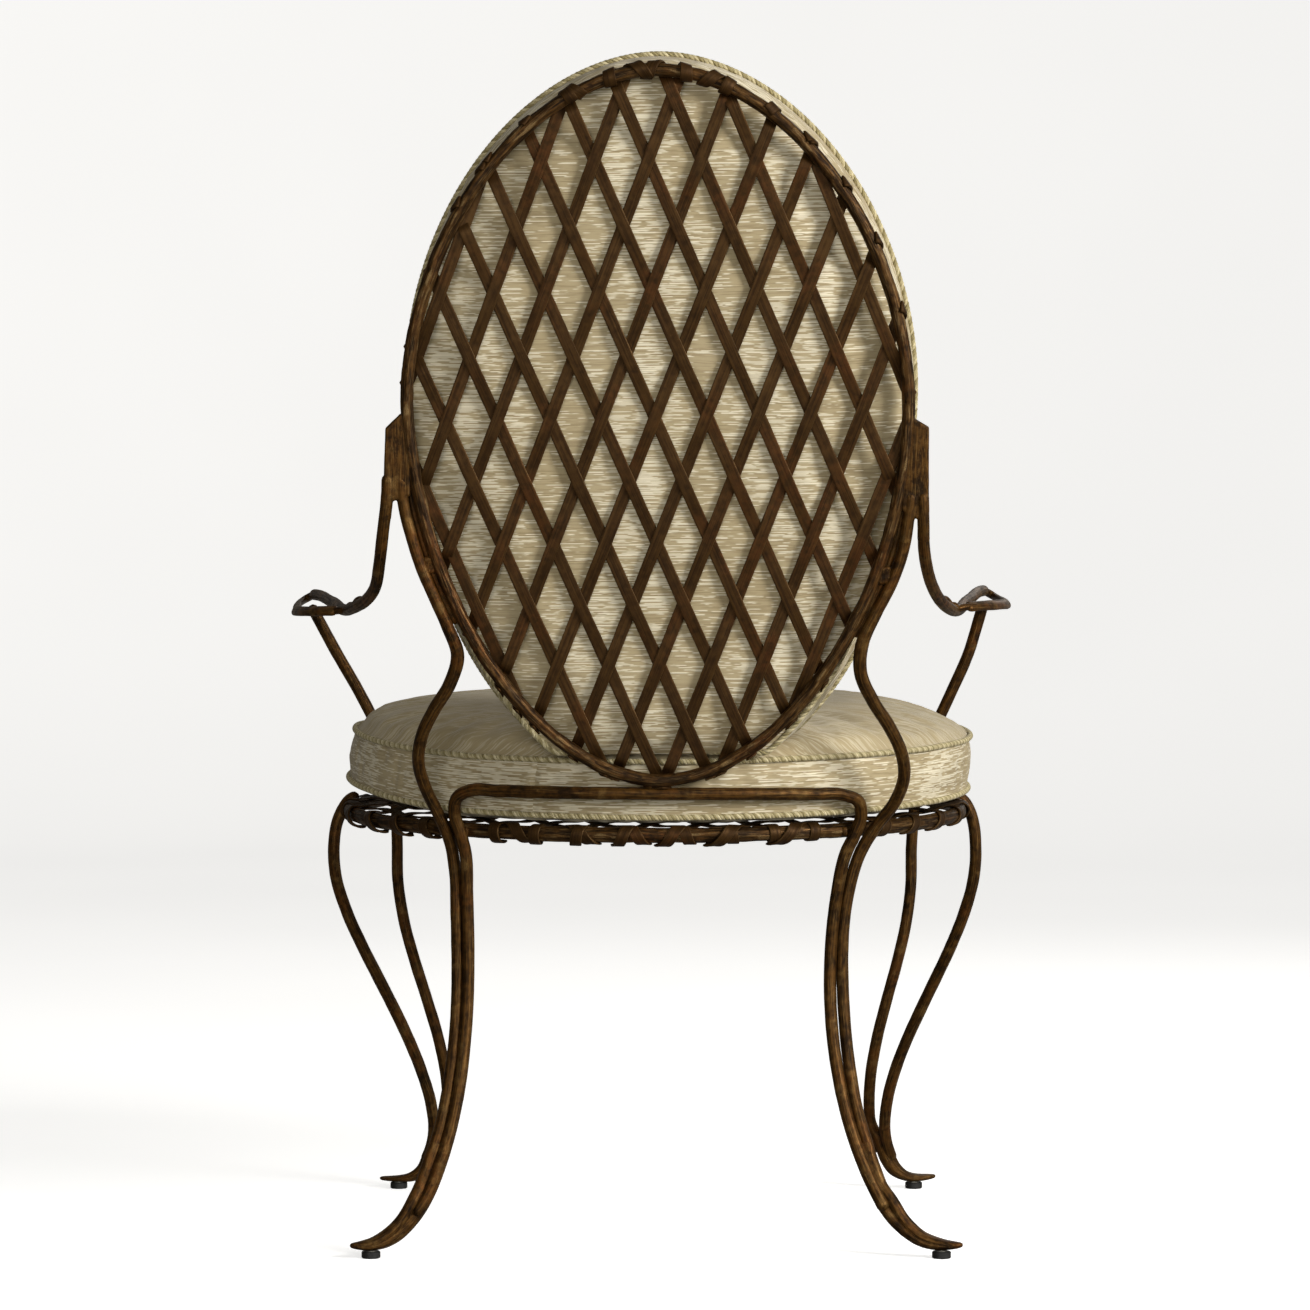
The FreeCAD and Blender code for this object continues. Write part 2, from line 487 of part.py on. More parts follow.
def lattice(falling, rising, ref, z0, reach, inside, bar_tube, bar_r, meet, minimum, keep_off, avoid=()):
    """Both layers of a lattice: straps with a wrap round the ring at each end."""
    ribbons = []
    for i, f in enumerate(falling):
        ribbons.append(("f", i, f, ribbon(f, rising, ref, [-1 if (i - j) % 2 == 0 else 1 for j in range(len(rising))], z0, reach)))
    for j, r in enumerate(rising):
        ribbons.append(("r", j, r, ribbon(r, falling, ref, [1 if (i - j) % 2 == 0 else -1 for i in range(len(falling))], z0, reach)))
    # Where each strap's centre line meets the ring, as a length along the ring.
    ends = []
    for k, (family, index, line, solid) in enumerate(ribbons):
        for s in meet(line):
            ends.append([s, k])
    ends.sort()
    total = minimum["total"]
    gap = minimum["gap"]
    for _ in range(200):
        shifted = False
        for a in range(len(ends)):
            b = (a + 1) % len(ends)
            d = (ends[b][0] - ends[a][0]) % total
            if d > total / 2:
                d -= total
            if d < gap - 1e-6:
                push = (gap - d) / 2
                ends[a][0] = (ends[a][0] - push) % total
                ends[b][0] = (ends[b][0] + push) % total
                shifted = True
        for e in ends:
            for lo, hi in keep_off:
                if lo < e[0] < hi:
                    e[0] = lo if e[0] - lo < hi - e[0] else hi
                    shifted = True
        ends.sort(key=lambda e: e[0])
        if not shifted:
            break
    outer = bar_r + 0.15 + D["wrap_wall"]

    def wrap(s, more):
        p, t = minimum["point"](s)
        long = D["wrap_length"] - 2 * more
        core = Part.makeCylinder(bar_r + 0.15, long + 2, p - t * (long / 2 + 1), t)
        return Part.makeCylinder(outer + more, long, p - t * (long / 2), t).cut(core)

    def space(s, more):
        p, t = minimum["point"](s)
        long = D["wrap_length"] + 0.5 + 2 * more
        return Part.makeCylinder(outer + 0.25 + more, long, p - t * (long / 2), t)

    spaces = [(k, s, space(s, 0.0)) for s, k in ends]
    result = {"f": [], "r": []}
    for k, (family, index, line, solid) in enumerate(ribbons):
        own = [s for kk, s, c in spaces if kk == k]
        if len(own) < 2:
            continue
        # Where a strap only grazes its wrap or its neighbour's, a slightly
        # larger or smaller wrap gives a clean joint.
        for more in (0.0, 0.08, -0.08, 0.15, -0.15, 0.22):
            body = solid.common(inside).cut(bar_tube)
            box = body.BoundBox
            for kk, s, c in spaces:
                if kk != k and c.BoundBox.intersect(box):
                    body = body.cut(space(s, max(0.0, abs(more) - 0.05)))
            body = biggest(body)
            whole = body.fuse([wrap(s, more) for s in own])
            for other in avoid:
                if other.BoundBox.intersect(whole.BoundBox):
                    whole = whole.cut(other)
            whole = biggest(whole)
            if whole.isValid() and closed(whole):
                break
        else:
            whole = body
            print("plain strap", family, index, closed(body))
        result[family].append(whole)
    return result, [c for _, _, c in spaces]


def compound_of(name, solids, at):
    shape = Part.makeCompound([s.copy() for s in solids])
    obj = feature(name, shape)
    obj.Placement = at
    return keep(obj, name)


# Seat lattice, in the ring's own frame.  The straps lie over the ring's top.
RS = D["seat_radius"]


def seat_meet(line):
    x0, m = line
    a, b, c = 1 + m * m, 2 * x0 * m, x0 * x0 - RS * RS
    disc = b * b - 4 * a * c
    if disc <= (90.0 * a) ** 2 / (1 + m * m):
        return []
    out = []
    for sign in (-1, 1):
        y = (-b + sign * math.sqrt(disc)) / (2 * a)
        out.append((math.atan2(y, x0 + m * y) % (2 * math.pi)) * RS)
    return out


def seat_point(s):
    a = s / RS
    return Vector(RS * math.cos(a), RS * math.sin(a), 0), Vector(-math.sin(a), math.cos(a), 0)


def around(x, y, half):
    a = (math.atan2(y, x) % (2 * math.pi)) * RS
    return (a - half, a + half)


total_seat = 2 * math.pi * RS
seat_blocks = [around(186, 241, 20), around(-186, 241, 20), around(299, -60, 13), around(-299, -60, 13),
               around(265, -168, 12), around(-265, -168, 12)]
# A strap ends inside the wall of its wrap, just short of the bar.
seat_disc = Part.makeCylinder(RS - 4.0, 40, Vector(0, 0, -20))
seat_tube = Part.makeTorus(RS, D["seat_bar"] / 2 + 0.95)
seat_sets, seat_wrap_space = lattice(
    SEAT_FALLING, SEAT_RISING, SEAT_REF, 6.2, 420, seat_disc, seat_tube, D["seat_bar"] / 2, seat_meet,
    {"total": total_seat, "gap": D["wrap_length"] + 0.9, "point": seat_point}, seat_blocks)
compound_of("seat_straps_rising", seat_sets["r"], SEAT_AT)
compound_of("seat_straps_falling", seat_sets["f"], SEAT_AT)

# Back lattice, in the back's own frame, whose x is the chair's x negated.
ring_wire = bent_path(RING, True)
ring_edges = ring_wire.OrderedEdges
lengths = [e.Length for e in ring_edges]
total_back = sum(lengths)


def back_point(s):
    s = s % total_back
    for e, length in zip(ring_edges, lengths):
        if s <= length:
            if e.Orientation == "Forward":
                u = e.getParameterByLength(s)
                t = e.tangentAt(u)
            else:
                u = e.getParameterByLength(length - s)
                t = e.tangentAt(u) * -1
            return e.valueAt(u), t
        s -= length
    e = ring_edges[-1]
    return e.valueAt(e.LastParameter), e.tangentAt(e.LastParameter)


samples = []
steps = 2400
for k in range(steps):
    s = total_back * k / steps
    samples.append((s, back_point(s)[0]))


def back_meet(line):
    x0, m = line
    out = []
    values = [(s, p.x - (x0 + m * (p.y - BACK_REF))) for s, p in samples]
    for k in range(steps):
        a, b = values[k], values[(k + 1) % steps]
        if a[1] == 0 or a[1] * b[1] < 0:
            f = a[1] / (a[1] - b[1])
            out.append((a[0] + f * total_back / steps) % total_back)
    return out if len(out) == 2 else []


face_in = Part.Face(ring_wire)
back_inside = face_in.extrude(Vector(0, 0, 12))
back_inside.translate(Vector(0, 0, -6))
bar = doc.getObject("back_ring")
sec = Part.Wire(Part.makeCircle(D["back_bar"] / 2 + 0.95, back_point(0)[0], back_point(0)[1]))
back_tube = ring_wire.makePipeShell([sec], True, False)
near_back = []
for raw in (upright_raw["left"], upright_raw["right"], rail_raw):
    other = raw.Shape.copy()
    other.Placement = BACK_AT.inverse().multiply(other.Placement)
    near_back.append(other)
flip = [(-x, -m) for x, m in BACK_FALLING]
flip_r = [(-x, -m) for x, m in BACK_RISING]
back_sets, back_wrap_space = lattice(
    flip, flip_r, BACK_REF, 0.0, 460, back_inside, back_tube, D["back_bar"] / 2, back_meet,
    {"total": total_back, "gap": D["wrap_length"] + 0.9, "point": back_point}, [], near_back)
compound_of("back_straps_rising", back_sets["r"], BACK_AT)
compound_of("back_straps_falling", back_sets["f"], BACK_AT)

# ---------------------------------------------------- plates, webs, ring block
wrap_clear = feature("back_wrap_clear", Part.makeCompound([w.copy() for w in back_wrap_space]))
wrap_clear.Placement = BACK_AT
wrap_solids = [w.copy() for w in back_wrap_space]
ring_grown = feature("back_ring_clear", ring_wire.makePipeShell([Part.Wire(Part.makeCircle(
    D["back_bar"] / 2 + 0.05, back_point(0)[0], back_point(0)[1]))], True, False))
ring_grown.Placement = BACK_AT


def back_y(z):
    return (z - D["back_cz"]) / math.cos(math.radians(D["back_recline"]))


def plate(name, corners):
    """A flat forged plate in the plane of the back, from a sketch."""
    body = doc.addObject("PartDesign::Body", name + "_body")
    sketch = body.newObject("Sketcher::SketchObject", name + "_outline")
    plane = [f for f in body.Origin.OriginFeatures if f.Role == "XY_Plane"][0]
    sketch.AttachmentSupport = [(plane, "")]
    sketch.MapMode = "FlatFace"
    pts = [Vector(-x, back_y(z), 0) for x, z in corners]
    for k in range(len(pts)):
        sketch.addGeometry(Part.LineSegment(pts[k], pts[(k + 1) % len(pts)]), False)
    pad = body.newObject("PartDesign::Pad", name + "_pad")
    pad.Profile = sketch
    pad.Midplane = True
    pad.setExpression("Length", "dims.plate_thick")
    body.Tip = pad
    body.Placement = BACK_AT
    return body


PLATE_LEFT = [(222.0, 774.0), (232.6, 777.0), (244.4, 764.0), (246.2, 717.0), (249.3, 694.2), (222.0, 694.2)]
PLATE_RIGHT = [(-222.0, 772.0), (-233.3, 774.2), (-247.7, 765.0), (-248.4, 706.0), (-249.3, 677.8), (-222.0, 677.8)]
plates = {"left": plate("plate_left", PLATE_LEFT), "right": plate("plate_right", PLATE_RIGHT)}
doc.recompute()
for side in ("left", "right"):
    trimmed = cut("back_plate_%s_coped" % side, plates[side], [ring_grown, upright_raw[side], arm_raw[side]])
    doc.recompute()
    shape = trimmed.Shape
    for w in wrap_solids:
        v = w.copy()
        v.Placement = BACK_AT.multiply(v.Placement)
        if v.BoundBox.intersect(shape.BoundBox):
            shape = shape.cut(v)
    keep(feature("back_plate_" + side, biggest(shape)), "back_plate_" + side)

web_solids = []
for side, x, z in (("left", 207.5, 634.0), ("right", -206.5, 626.0)):
    box = doc.addObject("Part::Box", "web_%s_blank" % side)
    box.Length = 18.0
    box.Width = 13.0
    box.Height = 5.0
    local = Placement(Vector(-x - 9.0, back_y(z) - 6.5, -2.5), Rotation())
    box.Placement = BACK_AT.multiply(local)
    trimmed = cut("web_" + side, box, [ring_grown, upright_raw[side]])
    doc.recompute()
    shape = trimmed.Shape
    for w in wrap_solids:
        v = w.copy()
        v.Placement = BACK_AT.multiply(v.Placement)
        if v.BoundBox.intersect(shape.BoundBox):
            shape = shape.cut(v)
    middle = BACK_AT.multVec(Vector(-x - (4.0 if side == "left" else -4.0), back_y(z), 0))
    best = min(shape.Solids, key=lambda s: abs(s.CenterOfMass.x - (208.3 if side == "left" else -207.3)))
    web_solids.append(best)
webs = feature("upright_webs", Part.makeCompound(web_solids))
keep(webs, "upright_webs")

block_blank = doc.addObject("Part::Box", "ring_block_blank")
block_blank.Length = 24.0
block_blank.Width = 9.0
block_blank.Height = 16.0
block_blank.Placement = Placement(Vector(-16.0, D["seat_cy"] + 313.5, 427.0), Rotation())
block_cut = cut("ring_block_coped", block_blank, [ring_grown, rail_raw])
doc.recompute()
block_shape = block_cut.Shape
for w in wrap_solids:
    v = w.copy()
    v.Placement = BACK_AT.multiply(v.Placement)
    if v.BoundBox.intersect(block_shape.BoundBox):
        block_shape = block_shape.cut(v)
parts_left = [s for s in block_shape.Solids if s.Volume > 60 and 431 < s.CenterOfMass.z < 441]
keep(feature("ring_block", Part.makeCompound(parts_left) if len(parts_left) > 1 else parts_left[0]), "ring_block")

# Weld beads where the legs touch the seat ring.
beads = []
seat_ring_shape = Part.makeTorus(RS, D["seat_bar"] / 2 + 0.05)
seat_ring_shape.Placement = SEAT_AT
doc.recompute()
others = [upright_raw["left"].Shape, upright_raw["right"].Shape, rail_raw.Shape, outer_raw["left"].Shape,
          outer_raw["right"].Shape, post_raw["left"].Shape, post_raw["right"].Shape, seat_ring_shape]


def bead(x, y, dz, r):
    a = math.atan2(y, x)
    rr = RS + D["seat_bar"] / 2
    local = Vector(rr * math.cos(a), rr * math.sin(a), dz)
    ball = Part.makeSphere(r, SEAT_AT.multVec(local))
    for o in others:
        if o.BoundBox.intersect(ball.BoundBox):
            ball = ball.cut(o)
    for c in seat_wrap_space:
        v = c.copy()
        v.Placement = SEAT_AT.multiply(v.Placement)
        if v.BoundBox.intersect(ball.BoundBox):
            ball = ball.cut(v)
    return [s for s in ball.Solids if s.Volume > 20]


for x, y in ((183, 245), (-183, 245), (265, -168), (-265, -168)):
    beads += bead(x, y, -1.5, 8.5)
keep(feature("leg_welds", Part.makeCompound(beads)), "leg_welds")

# ------------------------------------------------------------- the seat cushion
C = D["boxing_half"]
R = D["cushion_radius"]


def turned(name, edges_of_half):
    """A body of revolution about the cushion's axis, from a half-section sketch."""
    body = doc.addObject("PartDesign::Body", name + "_body")
    sketch = body.newObject("Sketcher::SketchObject", name + "_section")
    plane = [f for f in body.Origin.OriginFeatures if f.Role == "XZ_Plane"][0]
    sketch.AttachmentSupport = [(plane, "")]
    sketch.MapMode = "FlatFace"
    for g in edges_of_half:
        sketch.addGeometry(g, False)
    rev = body.newObject("PartDesign::Revolution", name + "_turn")
    rev.Profile = sketch
    rev.ReferenceAxis = (sketch, ["V_Axis"])
    rev.Angle = 360.0
    body.Tip = rev
    body.Placement = CUSHION_AT
    return body


def dome(n0, height, power, r):
    return n0 + height * (1 - (r / R) ** power)


def crown_section(grow, base):
    """Half section of the plump top: three arcs from the axis to the rim."""
    pts = [(r, dome(C, D["crown"], 7.0, r)) for r in (0.0, 110.0, 200.0, 238.0, 264.0, 284.0)] + [(R - 0.8, C + 0.4)]
    p = [Vector(x + (grow if i == 6 else 0), y + grow, 0) for i, (x, y) in enumerate(pts)]
    rim = Vector(R - 0.8 + grow, base, 0)
    foot = Vector(0, base, 0)
    return [Part.Arc(p[0], p[1], p[2]), Part.Arc(p[2], p[3], p[4]), Part.Arc(p[4], p[5], p[6]),
            Part.LineSegment(p[6], rim), Part.LineSegment(rim, foot), Part.LineSegment(foot, p[0])]


seat_top = turned("seat_cushion_top", crown_section(0.0, C - 1.0))
keep(seat_top, "seat_cushion_top_panel")

B = [(0.0, -C - D["sag"]), (150.0, -C - D["sag"] * (1 - (150 / R) ** 3)), (230.0, -C - D["sag"] * (1 - (230 / R) ** 3)),
     (268.0, -C - D["sag"] * (1 - (268 / R) ** 3)), (R - 0.8, -C - 0.4)]
b = [Vector(x, y, 0) for x, y in B]
b_rim = Vector(R - 0.8, -C + 1.0, 0)
b_foot = Vector(0, -C + 1.0, 0)
belly = turned("seat_cushion_belly", [Part.Arc(b[0], b[1], b[2]), Part.Arc(b[2], b[3], b[4]), Part.LineSegment(b[4], b_rim),
                                      Part.LineSegment(b_rim, b_foot), Part.LineSegment(b_foot, b[0])])
under = doc.addObject("Part::Box", "lattice_space")
under.Length = 800
under.Width = 800
under.Height = 60
under.Placement = SEAT_AT.multiply(Placement(Vector(-400, -400, 9.4 - 60), Rotation()))
keep(cut("seat_cushion_bottom", belly, [under]), "seat_cushion_bottom_panel")

core = doc.addObject("Part::Cylinder", "seat_core")
core.setExpression("Radius", "dims.cushion_radius - dims.cloth - 0.5")
core.setExpression("Height", "2 * dims.boxing_half - 2.6")
core.Placement = CUSHION_AT.multiply(Placement(Vector(0, 0, -C + 1.3), Rotation()))
keep(core, "seat_cushion_core")

strip = doc.addObject("PartDesign::Body", "seat_boxing_body")
strip_sketch = strip.newObject("Sketcher::SketchObject", "seat_boxing_rings")
plane = [f for f in strip.Origin.OriginFeatures if f.Role == "XY_Plane"][0]
strip_sketch.AttachmentSupport = [(plane, "")]
strip_sketch.MapMode = "FlatFace"
strip_sketch.addGeometry(Part.Circle(Vector(), Vector(0, 0, 1), R), False)
strip_sketch.addGeometry(Part.Circle(Vector(), Vector(0, 0, 1), R - D["cloth"]), False)
strip_pad = strip.newObject("PartDesign::Pad", "seat_boxing_pad")
strip_pad.Profile = strip_sketch
strip_pad.Midplane = True
strip_pad.setExpression("Length", "2 * dims.boxing_half - 2.6")
strip.Tip = strip_pad
strip.Placement = CUSHION_AT
keep(strip, "seat_cushion_boxing")

for label, level in (("seat_cushion_top_welt", 1), ("seat_cushion_bottom_welt", -1)):
    welt = doc.addObject("Part::Torus", label)
    welt.setExpression("Radius1", "dims.cushion_radius + dims.welt_r + 0.2")
    welt.setExpression("Radius2", "dims.welt_r")
    welt.Placement = CUSHION_AT.multiply(Placement(Vector(0, 0, level * C), Rotation()))
    keep(welt, label)

# ------------------------------------------------------------- the back cushion
# Everything of it is cut clear of the seat cushion that it rests on.
doc.recompute()
keepout_face = Part.Face(Part.Wire(Part.__sortEdges__([g.toShape() for g in crown_section(0.8, -C)])))
keepout = keepout_face.revolve(Vector(), Vector(0, 1, 0), 360)
keepout.rotate(Vector(), Vector(1, 0, 0), 90)
keepout = keepout.fuse(Part.makeTorus(R + D["welt_r"] + 0.2, D["welt_r"] + 0.8, Vector(0, 0, C)))
keepout.Placement = CUSHION_AT.multiply(keepout.Placement)
floor_box = Part.makeBox(900, 400, 200, Vector(-450, D["seat_cy"] + 100, 463.0 - 200))
seat_space = feature("seat_cushion_space", keepout)
low_space = feature("below_back_cushion", floor_box)
W, UP, DOWN = D["pillow_half_width"], D["pillow_up"], D["pillow_down"]
# The cushion hangs a little off the ring's middle, so it has its own frame.
PILLOW_AT = BACK_AT.multiply(Placement(Vector(-D["pillow_x"], D["pillow_y"], 0),
                                       Rotation(Vector(0, 0, 1), D["pillow_turn"])))


def pillow(inset, count=48, scale=1.0, z=0.0):
    """The cushion's outline: the ring's oval above, fuller below."""
    out = []
    for k in range(count):
        a = 2 * math.pi * k / count
        c, s = math.cos(a), math.sin(a)
        power = D["back_power"] if s > 0 else D["back_power"] + 0.25 * min(1.0, -2.0 * s)
        x = (W - inset) * math.copysign(abs(c) ** (2 / power), c)
        y = (UP - inset if s > 0 else DOWN - inset) * math.copysign(abs(s) ** (2 / power), s)
        out.append((x * scale, y * scale, z))
    return out


def oval_wire(inset, z, scale=1.0):
    curve = Part.BSplineCurve()
    curve.interpolate(Points=[Vector(*p) for p in pillow(inset, 48, scale, z)], PeriodicFlag=True)
    return Part.Wire(curve.toShape())


def loft(name, stations):
    wires = []
    for k, (inset, z, scale) in enumerate(stations):
        wires.append(feature("%s_w%d" % (name, k), oval_wire(inset, z, scale)))
        wires[-1].Placement = PILLOW_AT
    obj = doc.addObject("Part::Loft", name)
    obj.Sections = wires
    obj.Solid = True
    obj.Ruled = True
    return obj


def slab(name, inset, z0, z1):
    prism = feature(name, Part.Face(oval_wire(inset, z0)).extrude(Vector(0, 0, z1 - z0)))
    prism.Placement = PILLOW_AT
    return prism


ZR, ZF, CR = D["pillow_rear"], D["pillow_front"], D["pillow_crown"]
pillow_core = slab("back_cushion_core_blank", D["cloth"] + 0.5, ZF + 0.3, ZR - 0.3)
pillow_outer = slab("back_boxing_outer", 0.0, ZF + 0.3, ZR - 0.3)
pillow_inner = slab("back_boxing_inner", D["cloth"], ZF - 5.0, ZR + 5.0)
front_dome = loft("back_front_dome", [(0.4, ZF, 1.0), (0.4, ZF - 2.0, 0.994), (0.4, ZF - 2.0 - 0.18 * CR, 0.93),
                                      (0.4, ZF - 2.0 - 0.42 * CR, 0.80), (0.4, ZF - 2.0 - 0.70 * CR, 0.60),
                                      (0.4, ZF - 2.0 - 0.92 * CR, 0.34), (0.4, ZF - 2.0 - CR, 0.12)])
rear_dome = loft("back_rear_dome", [(0.4, ZR, 1.0), (0.4, ZR + 2.6, 0.985), (0.4, ZR + 5.4, 0.95), (0.4, ZR + 8.2, 0.90),
                                    (0.4, ZR + 11.6, 0.80), (0.4, ZR + 14.6, 0.60), (0.4, ZR + 16.1, 0.35), (0.4, ZR + 16.5, 0.12)])
doc.recompute()
clear = [seat_space, low_space]
keep(cut("back_cushion_core", pillow_core, clear), "back_cushion_core")
keep(cut("back_cushion_boxing", pillow_outer, [pillow_inner] + clear), "back_cushion_boxing")
keep(cut("back_cushion_front_panel", front_dome, clear), "back_cushion_front_panel")
keep(cut("back_cushion_rear_panel", rear_dome, clear), "back_cushion_rear_panel")
for label, z in (("back_cushion_front_welt", ZF - 1.0), ("back_cushion_rear_welt", ZR + 1.0)):
    raw = rod(label + "_cord", pillow(-D["welt_r"] - 0.3, 40, 1.0, z), "welt_r", closed=True, at=PILLOW_AT)
    raw.Sections[0].setExpression("Radius", "dims.welt_r")
    keep(cut(label, raw, clear), label)

doc.recompute()

# ------------------------------------------------------------- check and export
bad = []
for obj in doc.Objects:
    if any(word in obj.State for word in ("Invalid", "Error")):
        bad.append("%s: %s" % (obj.Name, obj.State))
for label, obj in NODES:
    s = obj.Shape
    if s.isNull() or not s.isValid() or not s.Solids:
        bad.append("%s: bad shape" % label)
    elif not all(closed(x) for x in s.Solids):
        print("open mesh:", label, [i for i, x in enumerate(s.Solids) if not closed(x)])
if bad:
    raise RuntimeError("; ".join(bad))
box = FreeCAD.BoundBox()
for label, obj in NODES:
    s = obj.Shape
    box.add(s.BoundBox)
    print("%-28s solids %2d faces %4d volume %10.0f" % (label, len(s.Solids), len(s.Faces), s.Volume))
print("x %.1f %.1f  y %.1f %.1f  z %.1f %.1f" % (box.XMin, box.XMax, box.YMin, box.YMax, box.ZMin, box.ZMax))
for label, obj in NODES:
    obj.Shape.exportStep("parts/%s.step" % label)
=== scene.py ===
# The looks of a garden armchair: oval lattice back, round lattice seat, paired
# rod legs, looped arms, two loose boxed cushions with twisted welts.
# Lengths below are in millimetres in the chair's frame, or in the frame of the
# back or the seat, and become metres when a mesh is made.
import math
import bpy
import numpy as np
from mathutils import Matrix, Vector


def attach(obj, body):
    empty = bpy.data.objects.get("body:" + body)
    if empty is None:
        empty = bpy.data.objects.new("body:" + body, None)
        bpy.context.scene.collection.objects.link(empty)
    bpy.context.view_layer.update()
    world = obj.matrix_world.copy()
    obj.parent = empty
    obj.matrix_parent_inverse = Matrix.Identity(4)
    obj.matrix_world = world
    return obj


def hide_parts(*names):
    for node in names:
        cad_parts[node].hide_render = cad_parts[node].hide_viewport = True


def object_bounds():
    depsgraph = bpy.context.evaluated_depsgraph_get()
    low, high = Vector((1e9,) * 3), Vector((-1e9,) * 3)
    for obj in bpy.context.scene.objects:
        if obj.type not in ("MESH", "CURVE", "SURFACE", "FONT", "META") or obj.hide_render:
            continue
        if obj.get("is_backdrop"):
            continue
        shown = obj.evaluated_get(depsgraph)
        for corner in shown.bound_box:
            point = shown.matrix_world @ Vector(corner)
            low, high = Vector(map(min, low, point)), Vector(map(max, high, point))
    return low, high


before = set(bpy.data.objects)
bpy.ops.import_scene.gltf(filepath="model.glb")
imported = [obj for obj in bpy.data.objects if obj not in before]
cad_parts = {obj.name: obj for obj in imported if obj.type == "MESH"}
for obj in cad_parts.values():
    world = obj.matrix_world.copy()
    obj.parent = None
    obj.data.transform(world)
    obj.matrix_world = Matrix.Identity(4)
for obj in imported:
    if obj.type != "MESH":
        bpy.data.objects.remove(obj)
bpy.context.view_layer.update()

SEAT_CY = -55.0
BAR_SEAT, BAR_BACK = 7.0, 6.0
RS = 299.0


# ------------------------------------------------------------------ frames
def rot(axis, degrees):
    a = math.radians(degrees)
    c, s = math.cos(a), math.sin(a)
    m = np.eye(4)
    i, j = {"x": (1, 2), "y": (2, 0), "z": (0, 1)}[axis]
    m[i, i], m[i, j], m[j, i], m[j, j] = c, -s, s, c
    return m


def shift(x, y, z):
    m = np.eye(4)
    m[:3, 3] = (x, y, z)
    return m


SEAT = shift(0, SEAT_CY, 401.3) @ rot("x", -2.0)
CUSHION = shift(-5.4, SEAT_CY, 450.1) @ rot("x", -3.15)
BACK = shift(0, SEAT_CY + 368.3, 787.0) @ rot("x", 82.0) @ rot("y", 180.0)
PILLOW = BACK @ shift(5.6, 9.3, 0) @ rot("z", 0.6)


def put(m, p):
    p = np.asarray(p, float)
    return p @ m[:3, :3].T + m[:3, 3]


def turn(m, v):
    return np.asarray(v, float) @ m[:3, :3].T


# ------------------------------------------------------------------- noise
def noise(p, seed=0):
    """Smooth value noise from -1 to 1 at each point."""
    p = np.asarray(p, float).reshape(-1, 3)
    base = np.floor(p).astype(np.int64)
    f = p - base
    f = f * f * f * (f * (f * 6 - 15) + 10)
    out = np.zeros(len(p))
    for dx in (0, 1):
        for dy in (0, 1):
            for dz in (0, 1):
                h = ((base[:, 0] + dx) * 73856093) ^ ((base[:, 1] + dy) * 19349663) ^ ((base[:, 2] + dz) * 83492791) ^ (seed * 97531 + 12345)
                h &= 0xFFFFFFFF
                h = ((h ^ (h >> 15)) * 0x2C1B3C6D) & 0xFFFFFFFF
                h = ((h ^ (h >> 12)) * 0x297A2D39) & 0xFFFFFFFF
                h ^= h >> 15
                v = (h & 0xFFFF) / 32767.5 - 1.0
                w = (f[:, 0] if dx else 1 - f[:, 0]) * (f[:, 1] if dy else 1 - f[:, 1]) * (f[:, 2] if dz else 1 - f[:, 2])
                out += v * w
    return out


def fbm(p, octaves=3, seed=0):
    p = np.asarray(p, float)
    total, gain, norm = 0.0, 1.0, 0.0
    for k in range(octaves):
        total = total + gain * noise(p * 2.03 ** k + 17.3 * k, seed + k)
        norm += gain
        gain *= 0.5
    return total / norm


def smooth(x, lo=0.0, hi=1.0):
    t = np.clip((x - lo) / (hi - lo), 0, 1)
    return t * t * (3 - 2 * t)


# ------------------------------------------------------------------ curves
def unit(v):
    v = np.asarray(v, float)
    return v / np.maximum(np.linalg.norm(v, axis=-1, keepdims=True), 1e-12)


def curve(points, step, closed=False, fine=14):
    """A smooth curve through the points, evenly spaced."""
    p = np.array(points, float)
    n = len(p)
    if closed:
        before, after = np.roll(p, 1, 0), np.roll(p, -1, 0)
        a, b = p - before, after - p
        da, db = np.linalg.norm(a, axis=1)[:, None], np.linalg.norm(b, axis=1)[:, None]
        t = (a / da * db + b / db * da) / (da + db)
        nxt = np.roll(np.arange(n), -1)
        segs = n
    else:
        d = np.linalg.norm(p[1:] - p[:-1], axis=1)[:, None]
        t = np.zeros_like(p)
        e = (p[1:] - p[:-1]) / d
        t[1:-1] = (e[:-1] * d[1:] + e[1:] * d[:-1]) / (d[1:] + d[:-1])
        t[0] = 2 * e[0] - t[1] if n > 2 else e[0]
        t[-1] = 2 * e[-1] - t[-2] if n > 2 else e[0]
        nxt = np.arange(1, n)
        segs = n - 1
    out = []
    s = np.linspace(0, 1, fine, endpoint=False)[:, None]
    for k in range(segs):
        q = p[nxt[k]]
        long = np.linalg.norm(q - p[k])
        h00, h10 = 2 * s ** 3 - 3 * s ** 2 + 1, s ** 3 - 2 * s ** 2 + s
        h01, h11 = -2 * s ** 3 + 3 * s ** 2, s ** 3 - s ** 2
        out.append(h00 * p[k] + h10 * t[k] * long + h01 * q + h11 * t[nxt[k]] * long)
    dense = np.vstack(out + [p[:1] if closed else p[-1:]])
    length = np.concatenate([[0], np.cumsum(np.linalg.norm(dense[1:] - dense[:-1], axis=1))])
    count = max(4, int(round(length[-1] / step)))
    at = np.linspace(0, length[-1], count + 1)
    if closed:
        at = at[:-1]
    return np.stack([np.interp(at, length, dense[:, i]) for i in range(3)], 1)


